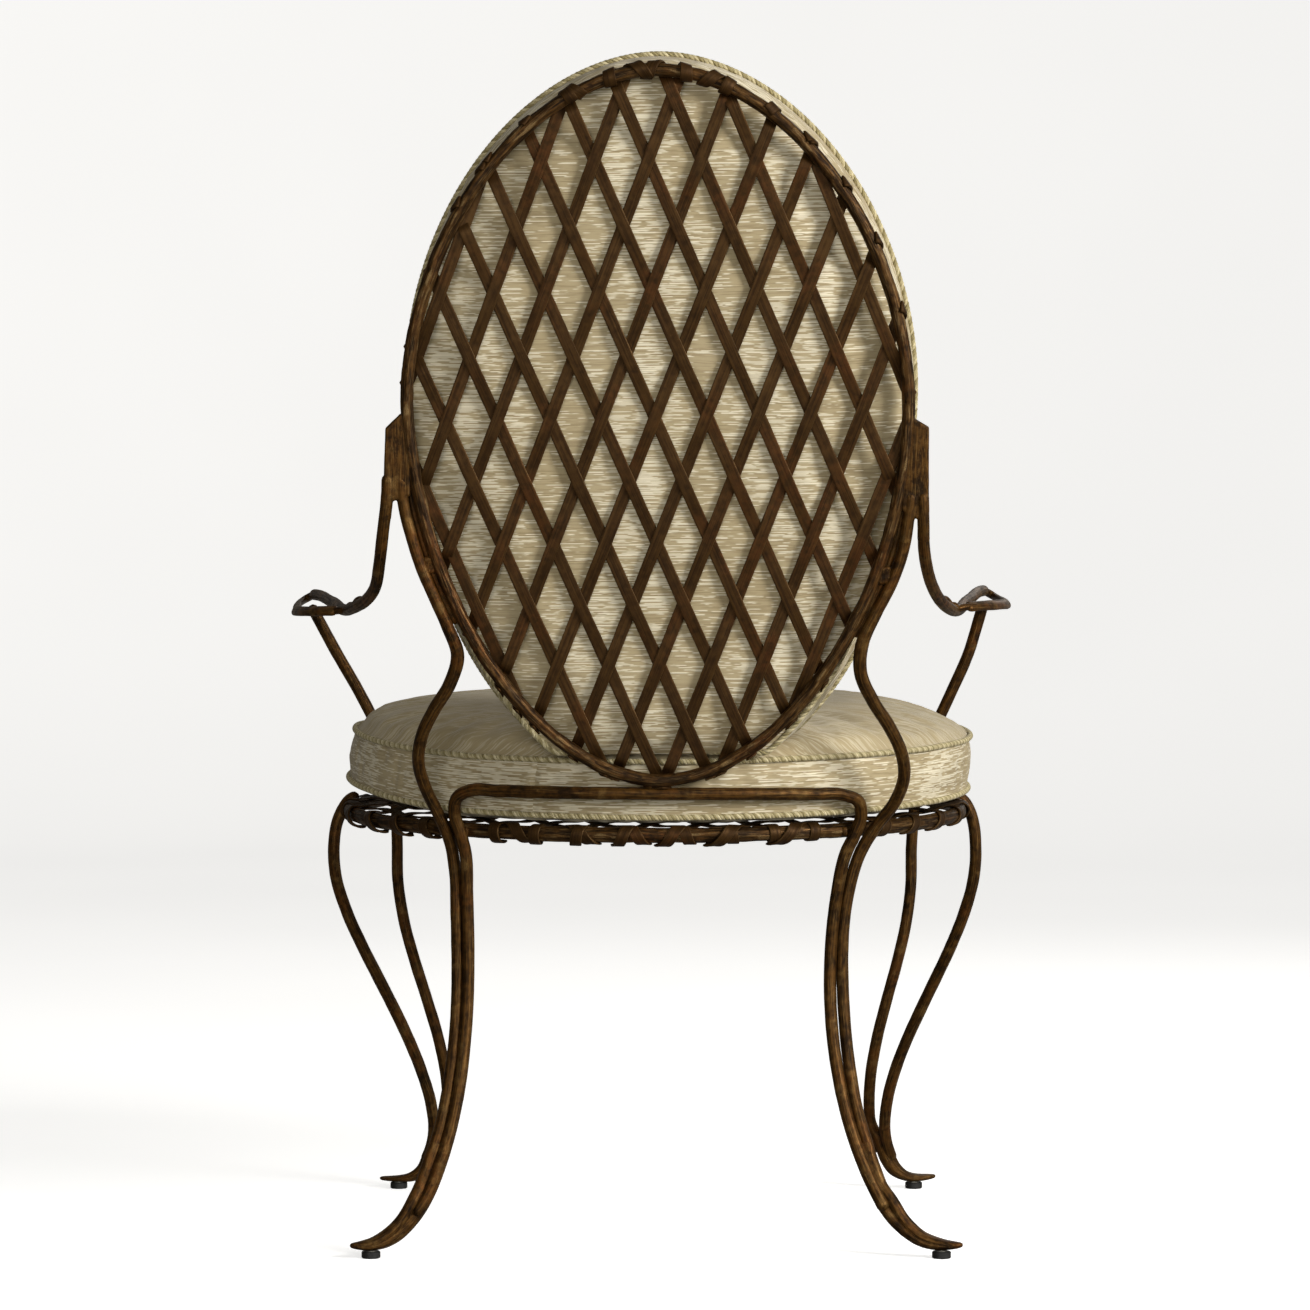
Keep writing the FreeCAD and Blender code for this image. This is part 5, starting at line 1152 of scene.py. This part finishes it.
webs = []
for x, z in ((205.2, 640.0), (-208.8, 630.5)):
    sgn = 1 if x > 0 else -1
    y = back_y(z)
    a = put(BACK, [-x - 6.0, y - 1.0, 0.5])
    b = put(BACK, [-x + 6.0, y + 1.0, 0.5])
    for off in (-5.0, -2.5, 0.0, 2.5, 5.0):
        shift_up = put(BACK, [0, off, 0]) - put(BACK, [0, 0, 0])
        webs.append(bar([a + shift_up, (a + b) / 2 + shift_up, b + shift_up], 3.4, step=1.2, sides=16, dents=0.15, seed=int(40 + off)))
piece(merged("upright_webs_welded", webs, ROD_IRON, 0.7, 2, 0.3, 71), "frame", "ironwork", "upright_webs")

# The block where the oval stands on the rail, with its two small flaps.
block = []
base = np.array([0.0, SEAT_CY + 314.5, 433.0])
for x, high, r in ((-13, 0.2, 3.0), (-9, 1.4, 3.6), (-5, 2.6, 4.2), (0, 3.2, 4.6), (4, 2.6, 4.2), (8, 1.2, 3.6), (12, 0.2, 3.0)):
    c = base + (x, 0, high)
    block.append(bar([c + (-3.5, 0, -1.0), c, c + (3.5, 0, 1.0)], r, step=1.3, sides=16, dents=0.1, seed=int(60 + x)))
piece(merged("ring_block_forged", block, ROD_IRON, 0.7, 3, 0.3, 15), "frame", "ironwork", "ring_block")

beads = []
for k, (x, y) in enumerate(((183, 245), (-183, 245), (265, -168), (-265, -168))):
    a = math.atan2(y, x)
    for j, off in enumerate((-7.0, -3.5, 0.0, 3.5, 7.0)):
        aa = a + off / RS
        r = RS + 5.6
        c = put(SEAT, [r * math.cos(aa), r * math.sin(aa), -1.2])
        u = put(SEAT, [r * math.cos(aa), r * math.sin(aa), 3.8])
        beads.append(bar([c - (u - c) * 0.9, c, u], 4.6 - 0.25 * abs(off) / 3.5, step=1.3, sides=16, dents=0.15, seed=90 + 5 * k + j))
piece(merged("leg_welds_forged", beads, ROD_IRON, 0.8, 3, 0.35, 19), "frame", "ironwork", "leg_welds")

# ------------------------------------------------------------ glides, studs
for node, material in (("glide_pads", plastic()), ("glide_studs", zinc())):
    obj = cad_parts[node]
    obj.data.materials.clear()
    obj.data.materials.append(material)

# ---------------------------------------------------------- the seat cushion
C, R = 25.5, 302.0
CROWN = 37.6


def seat_top(r):
    """Highest the seat cushion may stand at a radius, above its middle plane."""
    return C + CROWN * np.sqrt(1 - np.clip(r / R, 0, 1) ** 5.0)


def under_lattice(p):
    """Height of the seat straps' top at these points of the cushion's frame."""
    w = put(CUSHION, p)
    inverse = np.linalg.inv(SEAT)
    q = put(inverse, w)
    return q[:, 2] - 9.5


def revolve(profile, count=180):
    a = 2 * np.pi * np.arange(count) / count
    r, z = np.array(profile).T
    v = np.stack([r[:, None] * np.cos(a), r[:, None] * np.sin(a), np.broadcast_to(z[:, None], (len(r), count))], -1)
    n = len(r)
    return v.reshape(-1, 3), grid((n, count), False)[:, ::-1], [np.arange(count), ((n - 1) * count + np.arange(count))[::-1]], {}


def inflate(obj, pins, pressure, cap, frames=20, shrink=-0.012):
    """Cloth under air pressure; each point moves no further than its cap."""
    start = get(obj)
    group = obj.vertex_groups.new(name="seam")
    for w in (1.0, 0.6, 0.25):
        chosen = np.where(pins == w)[0]
        if len(chosen):
            group.add([int(i) for i in chosen], w, "REPLACE")
    m = obj.modifiers.new("fill", "CLOTH")
    s = m.settings
    s.quality = 5
    s.mass = 0.3
    s.tension_stiffness = 22
    s.compression_stiffness = 14
    s.shear_stiffness = 10
    s.bending_stiffness = 0.6
    s.use_pressure = True
    s.uniform_pressure_force = pressure
    s.vertex_group_mass = "seam"
    s.shrink_min = shrink
    s.effector_weights.gravity = 0
    m.collision_settings.use_collision = False
    m.point_cache.frame_start = 1
    m.point_cache.frame_end = frames
    scene = bpy.context.scene
    for f in range(1, frames + 1):
        scene.frame_set(f)
    graph = bpy.context.evaluated_depsgraph_get()
    e = obj.evaluated_get(graph)
    co = np.zeros(len(e.data.vertices) * 3, np.float32)
    e.data.vertices.foreach_get("co", co)
    co = co.reshape(-1, 3).astype(float) * 1000
    obj.modifiers.remove(m)
    obj.vertex_groups.clear()
    scene.frame_set(1)
    move = co - start
    far = np.linalg.norm(move, axis=1)
    limit = cap if np.ndim(cap) else np.full(len(far), float(cap))
    k = np.where(far > limit, limit / np.maximum(far, 1e-9), 1.0)
    # A soft limit keeps the form round where the cap is reached.
    soft = limit * np.tanh(far / np.maximum(limit, 1e-6)) / np.maximum(far, 1e-9)
    k = np.where(far > 1e-6, soft, 1.0)
    put_back(obj, start + move * k[:, None])
    print("inflated", obj.name, len(far), "median", round(float(np.median(far)), 2), "most", round(float(far.max()), 2))


def remeshed(obj, voxel):
    m = obj.modifiers.new("voxel", "REMESH")
    m.mode = "VOXEL"
    m.voxel_size = voxel / 1000
    evaluated(obj)
    return obj


def finer(obj):
    m = obj.modifiers.new("fine", "SUBSURF")
    m.levels = m.render_levels = 1
    return evaluated(obj)


def normals_of(obj):
    n = np.zeros(len(obj.data.vertices) * 3, np.float32)
    obj.data.vertices.foreach_get("normal", n)
    return n.reshape(-1, 3).astype(float)


def weave_map(obj, chart):
    """UV in metres: u runs with the weft, v across it."""
    mesh = obj.data
    count = len(mesh.loops)
    vi = np.zeros(count, np.int32)
    mesh.loops.foreach_get("vertex_index", vi)
    faces = len(mesh.polygons)
    starts = np.zeros(faces, np.int32)
    mesh.polygons.foreach_get("loop_start", starts)
    total = np.zeros(faces, np.int32)
    mesh.polygons.foreach_get("loop_total", total)
    owner = np.repeat(np.arange(faces), total)
    co = get(obj)
    centre = np.zeros((faces, 3))
    np.add.at(centre, owner, co[vi])
    centre /= total[:, None]
    normal = np.zeros(faces * 3, np.float32)
    mesh.polygons.foreach_get("normal", normal)
    uv = chart(co[vi], centre[owner], normal.reshape(-1, 3)[owner].astype(float))
    layer = mesh.uv_layers.new(name="weave")
    layer.uv.foreach_set("vector", (uv / 1000).astype(np.float32).ravel())


profile = [(0.5, -C - 16.0), (150, -C - 14.0), (230, -C - 8.5), (270, -C - 4.0), (R - 2.5, -C - 0.6), (R - 0.5, -C + 0.8),
           (R + 1.2, -C * 0.5), (R + 1.8, 0.0), (R + 1.2, C * 0.5), (R - 0.5, C - 0.8), (R - 2.5, C + 0.8)]
rim = [(r, C + (CROWN - 4.0) * math.sqrt(1 - (r / R) ** 5.0)) for r in (295, 290, 283, 274, 262, 246, 226, 200, 160, 110, 60, 0.5)]
obj = make("seat_cushion_cover", revolve(profile + rim), CLOTH)
remeshed(obj, 6.0)
p = get(obj)
r = np.hypot(p[:, 0], p[:, 1])
seam = np.minimum(np.hypot(r - R, p[:, 2] - C), np.hypot(r - R, p[:, 2] + C))
pins = np.where(seam < 4.5, 1.0, np.where(seam < 9.0, 0.25, 0.0))
boxed = (np.abs(p[:, 2]) < C) & (r > R - 8)
cap = np.where(boxed, 7.5, 11.0) * smooth(seam, 0.0, 26.0)
inflate(obj, pins, 4.0, cap)


def settle_seat(obj, margin=0.0):
    """Keep the seat cushion in its own space: above the lattice, under its crown."""
    p = get(obj)
    r = np.hypot(p[:, 0], p[:, 1])
    # The filling is full right up to the welt, and a little less in the middle.
    top = (p[:, 2] > C - 2) & (r < R)
    marks = np.arange(0.0, R - 5, 7.0)
    level = np.array([np.mean(p[top & (np.abs(r - m) < 5.0), 2]) for m in marks])
    lack = seat_top(marks) - 0.6 - level
    p[:, 2] += np.where(top, np.interp(r, marks, lack) * smooth(R - r, 2.0, 15.0) * smooth(p[:, 2] - C, -1.0, 3.0), 0)
    over = p[:, 2] - (seat_top(r) + 0.8)
    p[:, 2] -= np.where((over > 0) & (r < R - 1), over * 0.85, 0)
    h = under_lattice(p)
    p[:, 2] += np.where(h < 0.2, 0.2 - h, 0)
    put_back(obj, p)


finer(obj)
p = get(obj)
n = normals_of(obj)
r = np.hypot(p[:, 0], p[:, 1])
a = np.arctan2(p[:, 1], p[:, 0])
from_seam = np.minimum(np.abs(p[:, 2] - C), np.abs(p[:, 2] + C))
to_rim = np.abs(r - R)
seam = np.hypot(to_rim, from_seam)
# Small gathers run in from each welt, and the strip ripples a little.
gather = noise(np.stack([a * R / 17.0, seam / 60.0, np.sign(p[:, 2]) * 3], 1), 31) * 0.9 + noise(np.stack([a * R / 7.5, seam / 30.0, np.sign(p[:, 2]) * 3], 1), 32) * 0.4
p += n * (gather * smooth(seam, 1.0, 9.0) * (1 - smooth(seam, 12.0, 46.0)) * 1.0)[:, None]
p += n * (fbm(p / 70.0, 2, 33) * smooth(seam, 8, 50) * 1.5)[:, None]
# Close to its welts the cloth is drawn right up into the seam.
near = 0.65 * (1 - smooth(seam, 2.5, 9.5))
p[:, :2] *= (1 + near * (R + 0.8 - r) / np.maximum(r, 1.0))[:, None]
p[:, 2] += near * (np.where(p[:, 2] > 0, C, -C) - p[:, 2])
# The strip's upright seam, at the rear left of the photograph.
boxed = (np.abs(p[:, 2]) < C + 1) & (r > R - 6)
along_strip = (a - math.atan2(math.sqrt(R * R - 116.0 ** 2), 116.0)) * R
p -= n * (np.where(boxed, np.exp(-(along_strip / 2.2) ** 2) * 1.3 - np.exp(-((np.abs(along_strip) - 5.5) / 3.0) ** 2) * 0.45, 0))[:, None]
put_back(obj, p)
settle_seat(obj)


POSTS = [np.array(chair(q)) for q in (LEFT_POST, [(x - 2.6, y, z) for x, y, z in RIGHT_POST])]


def onto_seat(p):
    """From the cushion's frame to the chair's. The cushion sits a little
    askew, wider underneath, and gives way where an arm post touches it."""
    p = np.array(p, float)
    k = np.clip(p[:, 2] / C, -1.3, 1.3)
    p[:, :2] *= (1 - 0.0035 * k)[:, None]
    p[:, 0] -= 2.0 * k
    w = put(CUSHION, p)
    # Its edge stands up a little on the photograph's left.
    rise = np.clip((w[:, 0] - 172.0) / 132.0, 0, 1.1) ** 1.7
    w[:, 2] += rise * (9.5 - 2.5 * np.clip(k, -1, 1))
    # On the right its crown falls away sooner.
    fall = np.clip((-w[:, 0] - 180.0) / 115.0, 0, 1) ** 1.3
    w[:, 2] -= fall * 6.0 * smooth(p[:, 2], C + 2.0, C + 22.0)
    for post in POSTS:
        post = post[post[:, 2].argsort()]
        px, py = np.interp(w[:, 2], post[:, 2], post[:, 0]), np.interp(w[:, 2], post[:, 2], post[:, 1])
        d = np.stack([w[:, 0] - px, w[:, 1] - py], 1)
        inward = unit(np.array([0.0, SEAT_CY]) - np.stack([px, py], 1))
        reach = np.abs(d[:, 0] * inward[:, 1] - d[:, 1] * inward[:, 0])
        depth = d[:, 0] * inward[:, 0] + d[:, 1] * inward[:, 1]
        want = 7.2 * np.exp(-(reach / 9.0) ** 2)
        push = np.where((reach < 30) & (depth < want) & (depth > -8), want - depth, 0.0) * (w[:, 2] < 520)
        w[:, :2] += inward * push[:, None]
    return w


def seat_chart(p, c, n):
    r = np.hypot(c[:, 0], c[:, 1])
    boxed = (np.abs(c[:, 2]) < C - 0.5) & (r > R - 7)
    a0 = np.arctan2(c[:, 1], c[:, 0])
    a1 = np.arctan2(p[:, 1], p[:, 0])
    d = (a1 - a0 + np.pi) % (2 * np.pi) - np.pi
    start = math.atan2(math.sqrt(R * R - 116.0 ** 2), 116.0)
    u = ((a0 - start) % (2 * np.pi) + d) * R
    top = np.stack([p[:, 0] + 900 + 3 * noise(p / 120.0, 4), p[:, 1] + 0.16 * p[:, 2] + 400 + 1.0 * noise(p / 150.0, 5) + np.where(c[:, 2] < 0, 1500, 0)], 1)
    return np.where(boxed[:, None], np.stack([u, p[:, 2] + 60], 1), top)


weave_map(obj, seat_chart)
obj.data.materials.append(SEAT_CLOTH)
for face in obj.data.polygons:
    if face.center.z > (C + 1.0) / 1000:
        face.material_index = 1
put_back(obj, onto_seat(get(obj)))
obj.data.update()
piece(obj, "seat_cushion", "cushion_fabric", "seat_cushion_top_panel", "seat_cushion_boxing", "seat_cushion_bottom_panel", "seat_cushion_core")


# ------------------------------------------------------------------ welts
def twisted(path, up, radius, pitch, plies=3, per_turn=14, sides=8):
    """Plies laid up round one another into a closed cord."""
    step = np.linalg.norm(np.diff(np.vstack([path, path[:1]]), axis=0), axis=1)
    s = np.concatenate([[0], np.cumsum(step)])
    total = s[-1]
    turns = max(1, round(total / pitch))
    count = turns * per_turn
    at = np.arange(count) / count * total
    ext = np.vstack([path, path[:1]])
    q = np.stack([np.interp(at, s, ext[:, i]) for i in range(3)], 1)
    tn, nn, bb = carry(q, up, True)
    phase = 2 * np.pi * turns * at / total
    wob = 1 + 0.03 * noise(q / 9.0, 3)
    parts = []
    off, ply_r = radius * 0.5, radius * 0.5
    a = 2 * np.pi * np.arange(sides) / sides
    for k in range(plies):
        ph = phase + 2 * np.pi * k / plies
        c = q + nn * (off * np.cos(ph) * wob)[:, None] + bb * (off * np.sin(ph) * wob)[:, None]
        tt = tangents(c, True)
        radial = nn * np.cos(ph)[:, None] + bb * np.sin(ph)[:, None]
        radial = unit(radial - tt * np.sum(radial * tt, 1)[:, None])
        other = np.cross(tt, radial)
        x = np.broadcast_to(ply_r * 0.96 * np.cos(a), (count, sides))
        y = np.broadcast_to(ply_r * 1.12 * np.sin(a), (count, sides))
        # ply picks each ply's colour; proud runs from a ply's outer crest (1) to its side in the groove (-1), for the
        # painted groove shade.
        shade = {"ply": np.full((count, sides), k / max(1, plies - 1)), "proud": np.broadcast_to(np.cos(a), (count, sides))}
        parts.append(skin(c, radial, other, x, y, True, shade))
    return join(*parts)


WELT_SEAT = 3.05
angles = 2 * np.pi * np.arange(720) / 720
for label, level in (("top", 1), ("bottom", -1)):
    wave = 0.5 * noise(np.stack([np.cos(angles) * 4, np.sin(angles) * 4, angles * 0 + level], 1), 51)
    rr = R + 1.4 + 0.35 * noise(np.stack([np.cos(angles) * 7, np.sin(angles) * 7, angles * 0 + level], 1), 52)
    path = np.stack([rr * np.cos(angles), rr * np.sin(angles), level * (C + 0.3) + wave], 1)
    h = under_lattice(path)
    path[:, 2] += np.where(h < WELT_SEAT + 0.3, WELT_SEAT + 0.3 - h, 0)
    cord_part = twisted(onto_seat(path), turn(CUSHION, (0, 0, 1)), WELT_SEAT, 9.6)
    w = make("seat_welt_%s_cord" % label, cord_part, CORD)
    piece(w, "seat_cushion", "welt_cord", "seat_cushion_%s_welt" % label)

# ---------------------------------------------------------- the back cushion
W, UP, DOWN = 232.9, 301.5, 371.9
ZR, ZF, FRONT_CROWN = -20.0, -64.0, 22.0
POWER, LOW = 1.90, 0.17


def cut_at(z):
    """The rear panel is cut a little smaller than the front one and lies
    behind the ring: its width and height, its middle, how square it is below."""
    f = np.clip((np.asarray(z, float) - ZF) / (ZR - ZF), 0, 1)
    return 1 - 0.0285 * f, 1 - 0.010 * f, -3.1 * f, -9.25 * f, LOW * (1 - f)


def rho(p):
    """0 at the cushion's middle, 1 on its outline."""
    kx, ky, cx, cy, square = cut_at(p[:, 2])
    y = p[:, 1] - cy
    s = np.where(y > 0, y / UP, y / DOWN) / ky
    c = (p[:, 0] - cx) / W / kx
    low = np.clip(-s / np.maximum(np.hypot(s, c), 1e-9) * 2, 0, 1)
    power = POWER - 0.03 * (1 - square / LOW) + square * low
    return (np.abs(c) ** power + np.abs(s) ** power) ** (1 / power)


def outline_at(z, count, grow=0.0, scale=1.0):
    """The cushion's outline at a depth, let out by a margin."""
    kx, ky, cx, cy, square = (float(v) for v in cut_at(z))
    q = oval(W * kx * scale + grow, UP * ky * scale + grow, DOWN * ky * scale + grow, POWER - 0.03 * (1 - square / LOW), count, square if square > 0 else None)
    return q + (cx, cy, float(z))


def above_seat(p):
    """How far each point of the back cushion's frame is above the seat cushion."""
    w = put(PILLOW, p)
    q = put(np.linalg.inv(CUSHION), w)
    r = np.hypot(q[:, 0], q[:, 1])
    inside = r < R + 8.5
    ground = np.maximum(seat_top(r) + 1.6, C + 5.6)
    h = np.where(inside, q[:, 2] - ground, w[:, 2] - 463.5)
    return h


def settle_back(p, margin=0.0, rounds=3):
    for _ in range(rounds):
        h = above_seat(p) - margin
        p[:, 1] += np.where(h < 0, -h * 1.005, 0)
    low = put(PILLOW, p)[:, 2]
    p[:, 1] += np.where(low < 463.6 + margin, (463.6 + margin - low) * 1.01, 0)
    return p


def pillow_body(count=150):
    rings = []
    for scale, z in ((0.02, ZR + 13.5), (0.2, ZR + 13.4), (0.4, ZR + 13.0), (0.6, ZR + 11.6), (0.75, ZR + 9.6), (0.86, ZR + 6.8), (0.93, ZR + 4.2), (0.97, ZR + 2.2),
                     (0.992, ZR + 0.4), (0.999, ZR - 0.6), (1.004, ZR - 11), (1.008, (ZR + ZF) / 2), (1.005, ZF + 11), (1.0, ZF + 0.6),
                     (0.991, ZF - 1.0), (0.96, ZF - 4.2), (0.92, ZF - 7.0), (0.85, ZF - 10.0), (0.74, ZF - 12.6), (0.58, ZF - 14.6), (0.38, ZF - 15.8), (0.2, ZF - 16.2), (0.02, ZF - 16.3)):
        rings.append(outline_at(z, count, 0.0, scale))
    v = np.vstack(rings)
    v = settle_back(v, 1.0)
    n = len(rings)
    return v, grid((n, count), False), [np.arange(count)[::-1], (n - 1) * count + np.arange(count)], {}


back = make("back_cushion_cover", pillow_body(), CLOTH)
remeshed(back, 5.5)
p = get(back)
rh = rho(p)
size = (W + UP) / 2
edge = np.abs(1 - rh) * size
seam = np.minimum(np.hypot(edge, p[:, 2] - ZR), np.hypot(edge, p[:, 2] - ZF))
resting = above_seat(p) < 7.0
pins = np.where(seam < 4.5, 1.0, np.where(seam < 9.0, 0.25, 0.0))
pins = np.where(resting, 1.0, pins)
rear = p[:, 2] > ZR
boxed = (p[:, 2] < ZR) & (p[:, 2] > ZF) & (edge < 9)
cap = np.where(boxed, 7.0, np.where(rear, 7.5, 11.0)) * smooth(seam, 0.0, 26.0)
inflate(back, pins, 4.0, cap)
finer(back)
p = get(back)
n = normals_of(back)
edge = np.abs(1 - rho(p)) * size
seam = np.minimum(np.hypot(edge, p[:, 2] - ZR), np.hypot(edge, p[:, 2] - ZF))
a = np.arctan2(p[:, 1], p[:, 0])
gather = noise(np.stack([a * size / 17.0, seam / 60.0, np.sign(p[:, 2] - (ZR + ZF) / 2) * 3], 1), 61) * 0.9 + noise(np.stack([a * size / 7.5, seam / 30.0, np.sign(p[:, 2] + 42) * 3], 1), 62) * 0.4
p += n * (gather * smooth(seam, 1.0, 9.0) * (1 - smooth(seam, 12.0, 46.0)) * 0.9)[:, None]
p += n * (fbm(p / 75.0, 2, 63) * smooth(seam, 8, 50) * 1.4)[:, None]
near = 0.65 * (1 - smooth(seam, 2.5, 9.5))
middle = np.stack([cut_at(p[:, 2])[2], cut_at(p[:, 2])[3]], 1)
p[:, :2] += unit(p[:, :2] - middle) * (near * ((1 - rho(p)) * size + 0.6))[:, None]
p[:, 2] += near * (np.where(p[:, 2] > (ZR + ZF) / 2, ZR, ZF) - p[:, 2])
# The lattice presses the rear panel flat where it bulges furthest.
high = p[:, 2] + 4.4
p[:, 2] -= np.where(high > 0, high, 0)
p = settle_back(p, 0.4)
put_back(back, p)

outline = curve(oval(W, UP, DOWN, POWER, 160, LOW), 2.0, True)
outline_angle = np.unwrap(np.arctan2(outline[:, 1], outline[:, 0]))
outline_s = np.arange(len(outline)) * 2.0


def back_chart(p, c, n):
    e = np.abs(1 - rho(c)) * size
    boxed = (c[:, 2] < ZR - 0.5) & (c[:, 2] > ZF + 0.5) & (e < 10)
    a0 = np.arctan2(c[:, 1], c[:, 0])
    a1 = np.arctan2(p[:, 1], p[:, 0])
    d = (a1 - a0 + np.pi) % (2 * np.pi) - np.pi
    first = (a0 + np.pi / 2) % (2 * np.pi) - np.pi / 2
    order = np.argsort(outline_angle)
    start = outline_angle[order][0]
    wrapped = (first - start) % (2 * np.pi) + start
    u = np.interp(wrapped + d, outline_angle[order], outline_s[order])
    panel = np.stack([p[:, 0] + 300 + 3 * noise(p / 95.0, 14) + np.where(c[:, 2] > -42, 0, 2000), p[:, 1] + 400 + 1.6 * noise(p / 130.0, 15)], 1)
    return np.where(boxed[:, None], np.stack([u + 4000, p[:, 2] + 90], 1), panel)


weave_map(back, back_chart)
put_back(back, put(PILLOW, get(back)))
piece(back, "back_cushion", "cushion_fabric", "back_cushion_core", "back_cushion_boxing", "back_cushion_front_panel", "back_cushion_rear_panel")

WELT_BACK = 2.9
for label, z in (("front", ZF - 1.0), ("rear", ZR + 1.0)):
    q = outline_at(z, 220, 0.8)
    q = curve(q, 2.5, True)
    t = np.arange(len(q)) / len(q) * 2 * np.pi
    q[:, 2] += 0.5 * noise(np.stack([np.cos(t) * 4, np.sin(t) * 4, t * 0 + z], 1), 53)
    q = settle_back(q, WELT_BACK + 0.4)
    for _ in range(6):
        q = q * 0.5 + (np.roll(q, 1, 0) + np.roll(q, -1, 0)) * 0.25
    q = settle_back(q, WELT_BACK + 0.3)
    cord_part = twisted(put(PILLOW, q), turn(PILLOW, (0, 0, 1)), WELT_BACK, 14.0)
    w = make("back_welt_%s_cord" % label, cord_part, CORD)
    piece(w, "back_cushion", "welt_cord", "back_cushion_%s_welt" % label)

# ------------------------------------------------------- floor, light, camera
def studio():
    """A pale floor that curves up far away all round."""
    count = 96
    profile = [(0.0, 0.0)] + [(x, 0.0) for x in (0.02, 0.5, 1.0, 2.0, 4.0, 6.5)]
    for k in range(1, 13):
        a = math.pi / 2 * k / 12
        profile.append((6.5 + 2.0 * math.sin(a), 2.0 - 2.0 * math.cos(a)))
    profile.append((8.5, 7.0))
    a = 2 * np.pi * np.arange(count) / count
    r, z = np.array(profile[1:]).T
    v = np.stack([r[:, None] * np.cos(a), r[:, None] * np.sin(a), np.broadcast_to(z[:, None], (len(r), count))], -1).reshape(-1, 3)
    quads = grid((len(r), count), False)[:, ::-1]
    t = Tree("studio_floor")
    at = t.node("ShaderNodeTexCoord").outputs["Object"]
    soft = t.noise(at, 1.3, 2.0, 0.5)
    colour = t.mix(t.range(soft, 0.3, 0.7), (0.86, 0.86, 0.855, 1), (0.89, 0.89, 0.885, 1))
    t.link(colour, t.shader.inputs["Base Color"])
    t.shader.inputs["Roughness"].default_value = 0.95
    t.shader.inputs["Specular IOR Level"].default_value = 0.1
    t.shader.inputs["Emission Color"].default_value = (1, 1, 1, 1)
    t.shader.inputs["Emission Strength"].default_value = 0.62
    obj = make("studio_floor", (v * 1000, quads, [np.arange(count)], {}), t.material)
    obj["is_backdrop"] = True
    # The stage catches shadows; the soft light on the chair comes from the air and the lamps.
    obj.visible_diffuse = False
    obj.visible_glossy = False
    return obj


studio()


def lamp(name, place, target, size, watts, colour=(1, 1, 1)):
    data = bpy.data.lights.new(name, "AREA")
    data.shape = "DISK"
    data.size = size
    data.energy = watts
    data.color = colour
    o = bpy.data.objects.new(name, data)
    bpy.context.scene.collection.objects.link(o)
    o.location = place
    o.rotation_mode = "QUATERNION"
    o.rotation_quaternion = (Vector(target) - Vector(place)).to_track_quat("-Z", "Y")
    return o


lamp("key", (-2.45, 2.1, 1.7), (0, 0.1, 0.55), 1.3, 120, (1.0, 0.985, 0.965))
lamp("camera_side", (0.5, 4.0, 1.2), (0, 0.2, 0.6), 2.0, 50, (1.0, 0.985, 0.95))
lamp("front", (-1.2, -2.8, 2.2), (0, 0, 0.6), 2.0, 14, (1.0, 0.98, 0.94))

# Soft air: brighter to the right of the photograph, and a touch brighter below than above.
world = bpy.data.worlds.new("studio_air")
world.use_nodes = True
tree = world.node_tree
way = tree.nodes.new("ShaderNodeTexCoord")
split = tree.nodes.new("ShaderNodeSeparateXYZ")
tree.links.new(way.outputs["Generated"], split.inputs[0])
rise = tree.nodes.new("ShaderNodeMath")
rise.operation = "MULTIPLY_ADD"
tree.links.new(split.outputs[2], rise.inputs[0])
rise.inputs[1].default_value, rise.inputs[2].default_value = -0.02, 0.25
lean = tree.nodes.new("ShaderNodeMath")
lean.operation = "MULTIPLY_ADD"
tree.links.new(split.outputs[0], lean.inputs[0])
lean.inputs[1].default_value = -0.15
tree.links.new(rise.outputs[0], lean.inputs[2])
world.node_tree.nodes["Background"].inputs[0].default_value = (1.0, 0.968, 0.89, 1)
tree.links.new(lean.outputs[0], world.node_tree.nodes["Background"].inputs[1])
bpy.context.scene.world = world
bpy.context.scene.view_settings.view_transform = "Standard"

lens = bpy.data.cameras.new("camera")
lens.sensor_width = 36.0
lens.lens = 129.34
lens.clip_start, lens.clip_end = 0.1, 60
camera = bpy.data.objects.new("camera", lens)
bpy.context.scene.collection.objects.link(camera)
camera.location = (0.0, 4.581, 0.617)
camera.rotation_euler = (math.radians(90 - 0.791), 0, math.radians(180))
bpy.context.scene.camera = camera

low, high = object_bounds()
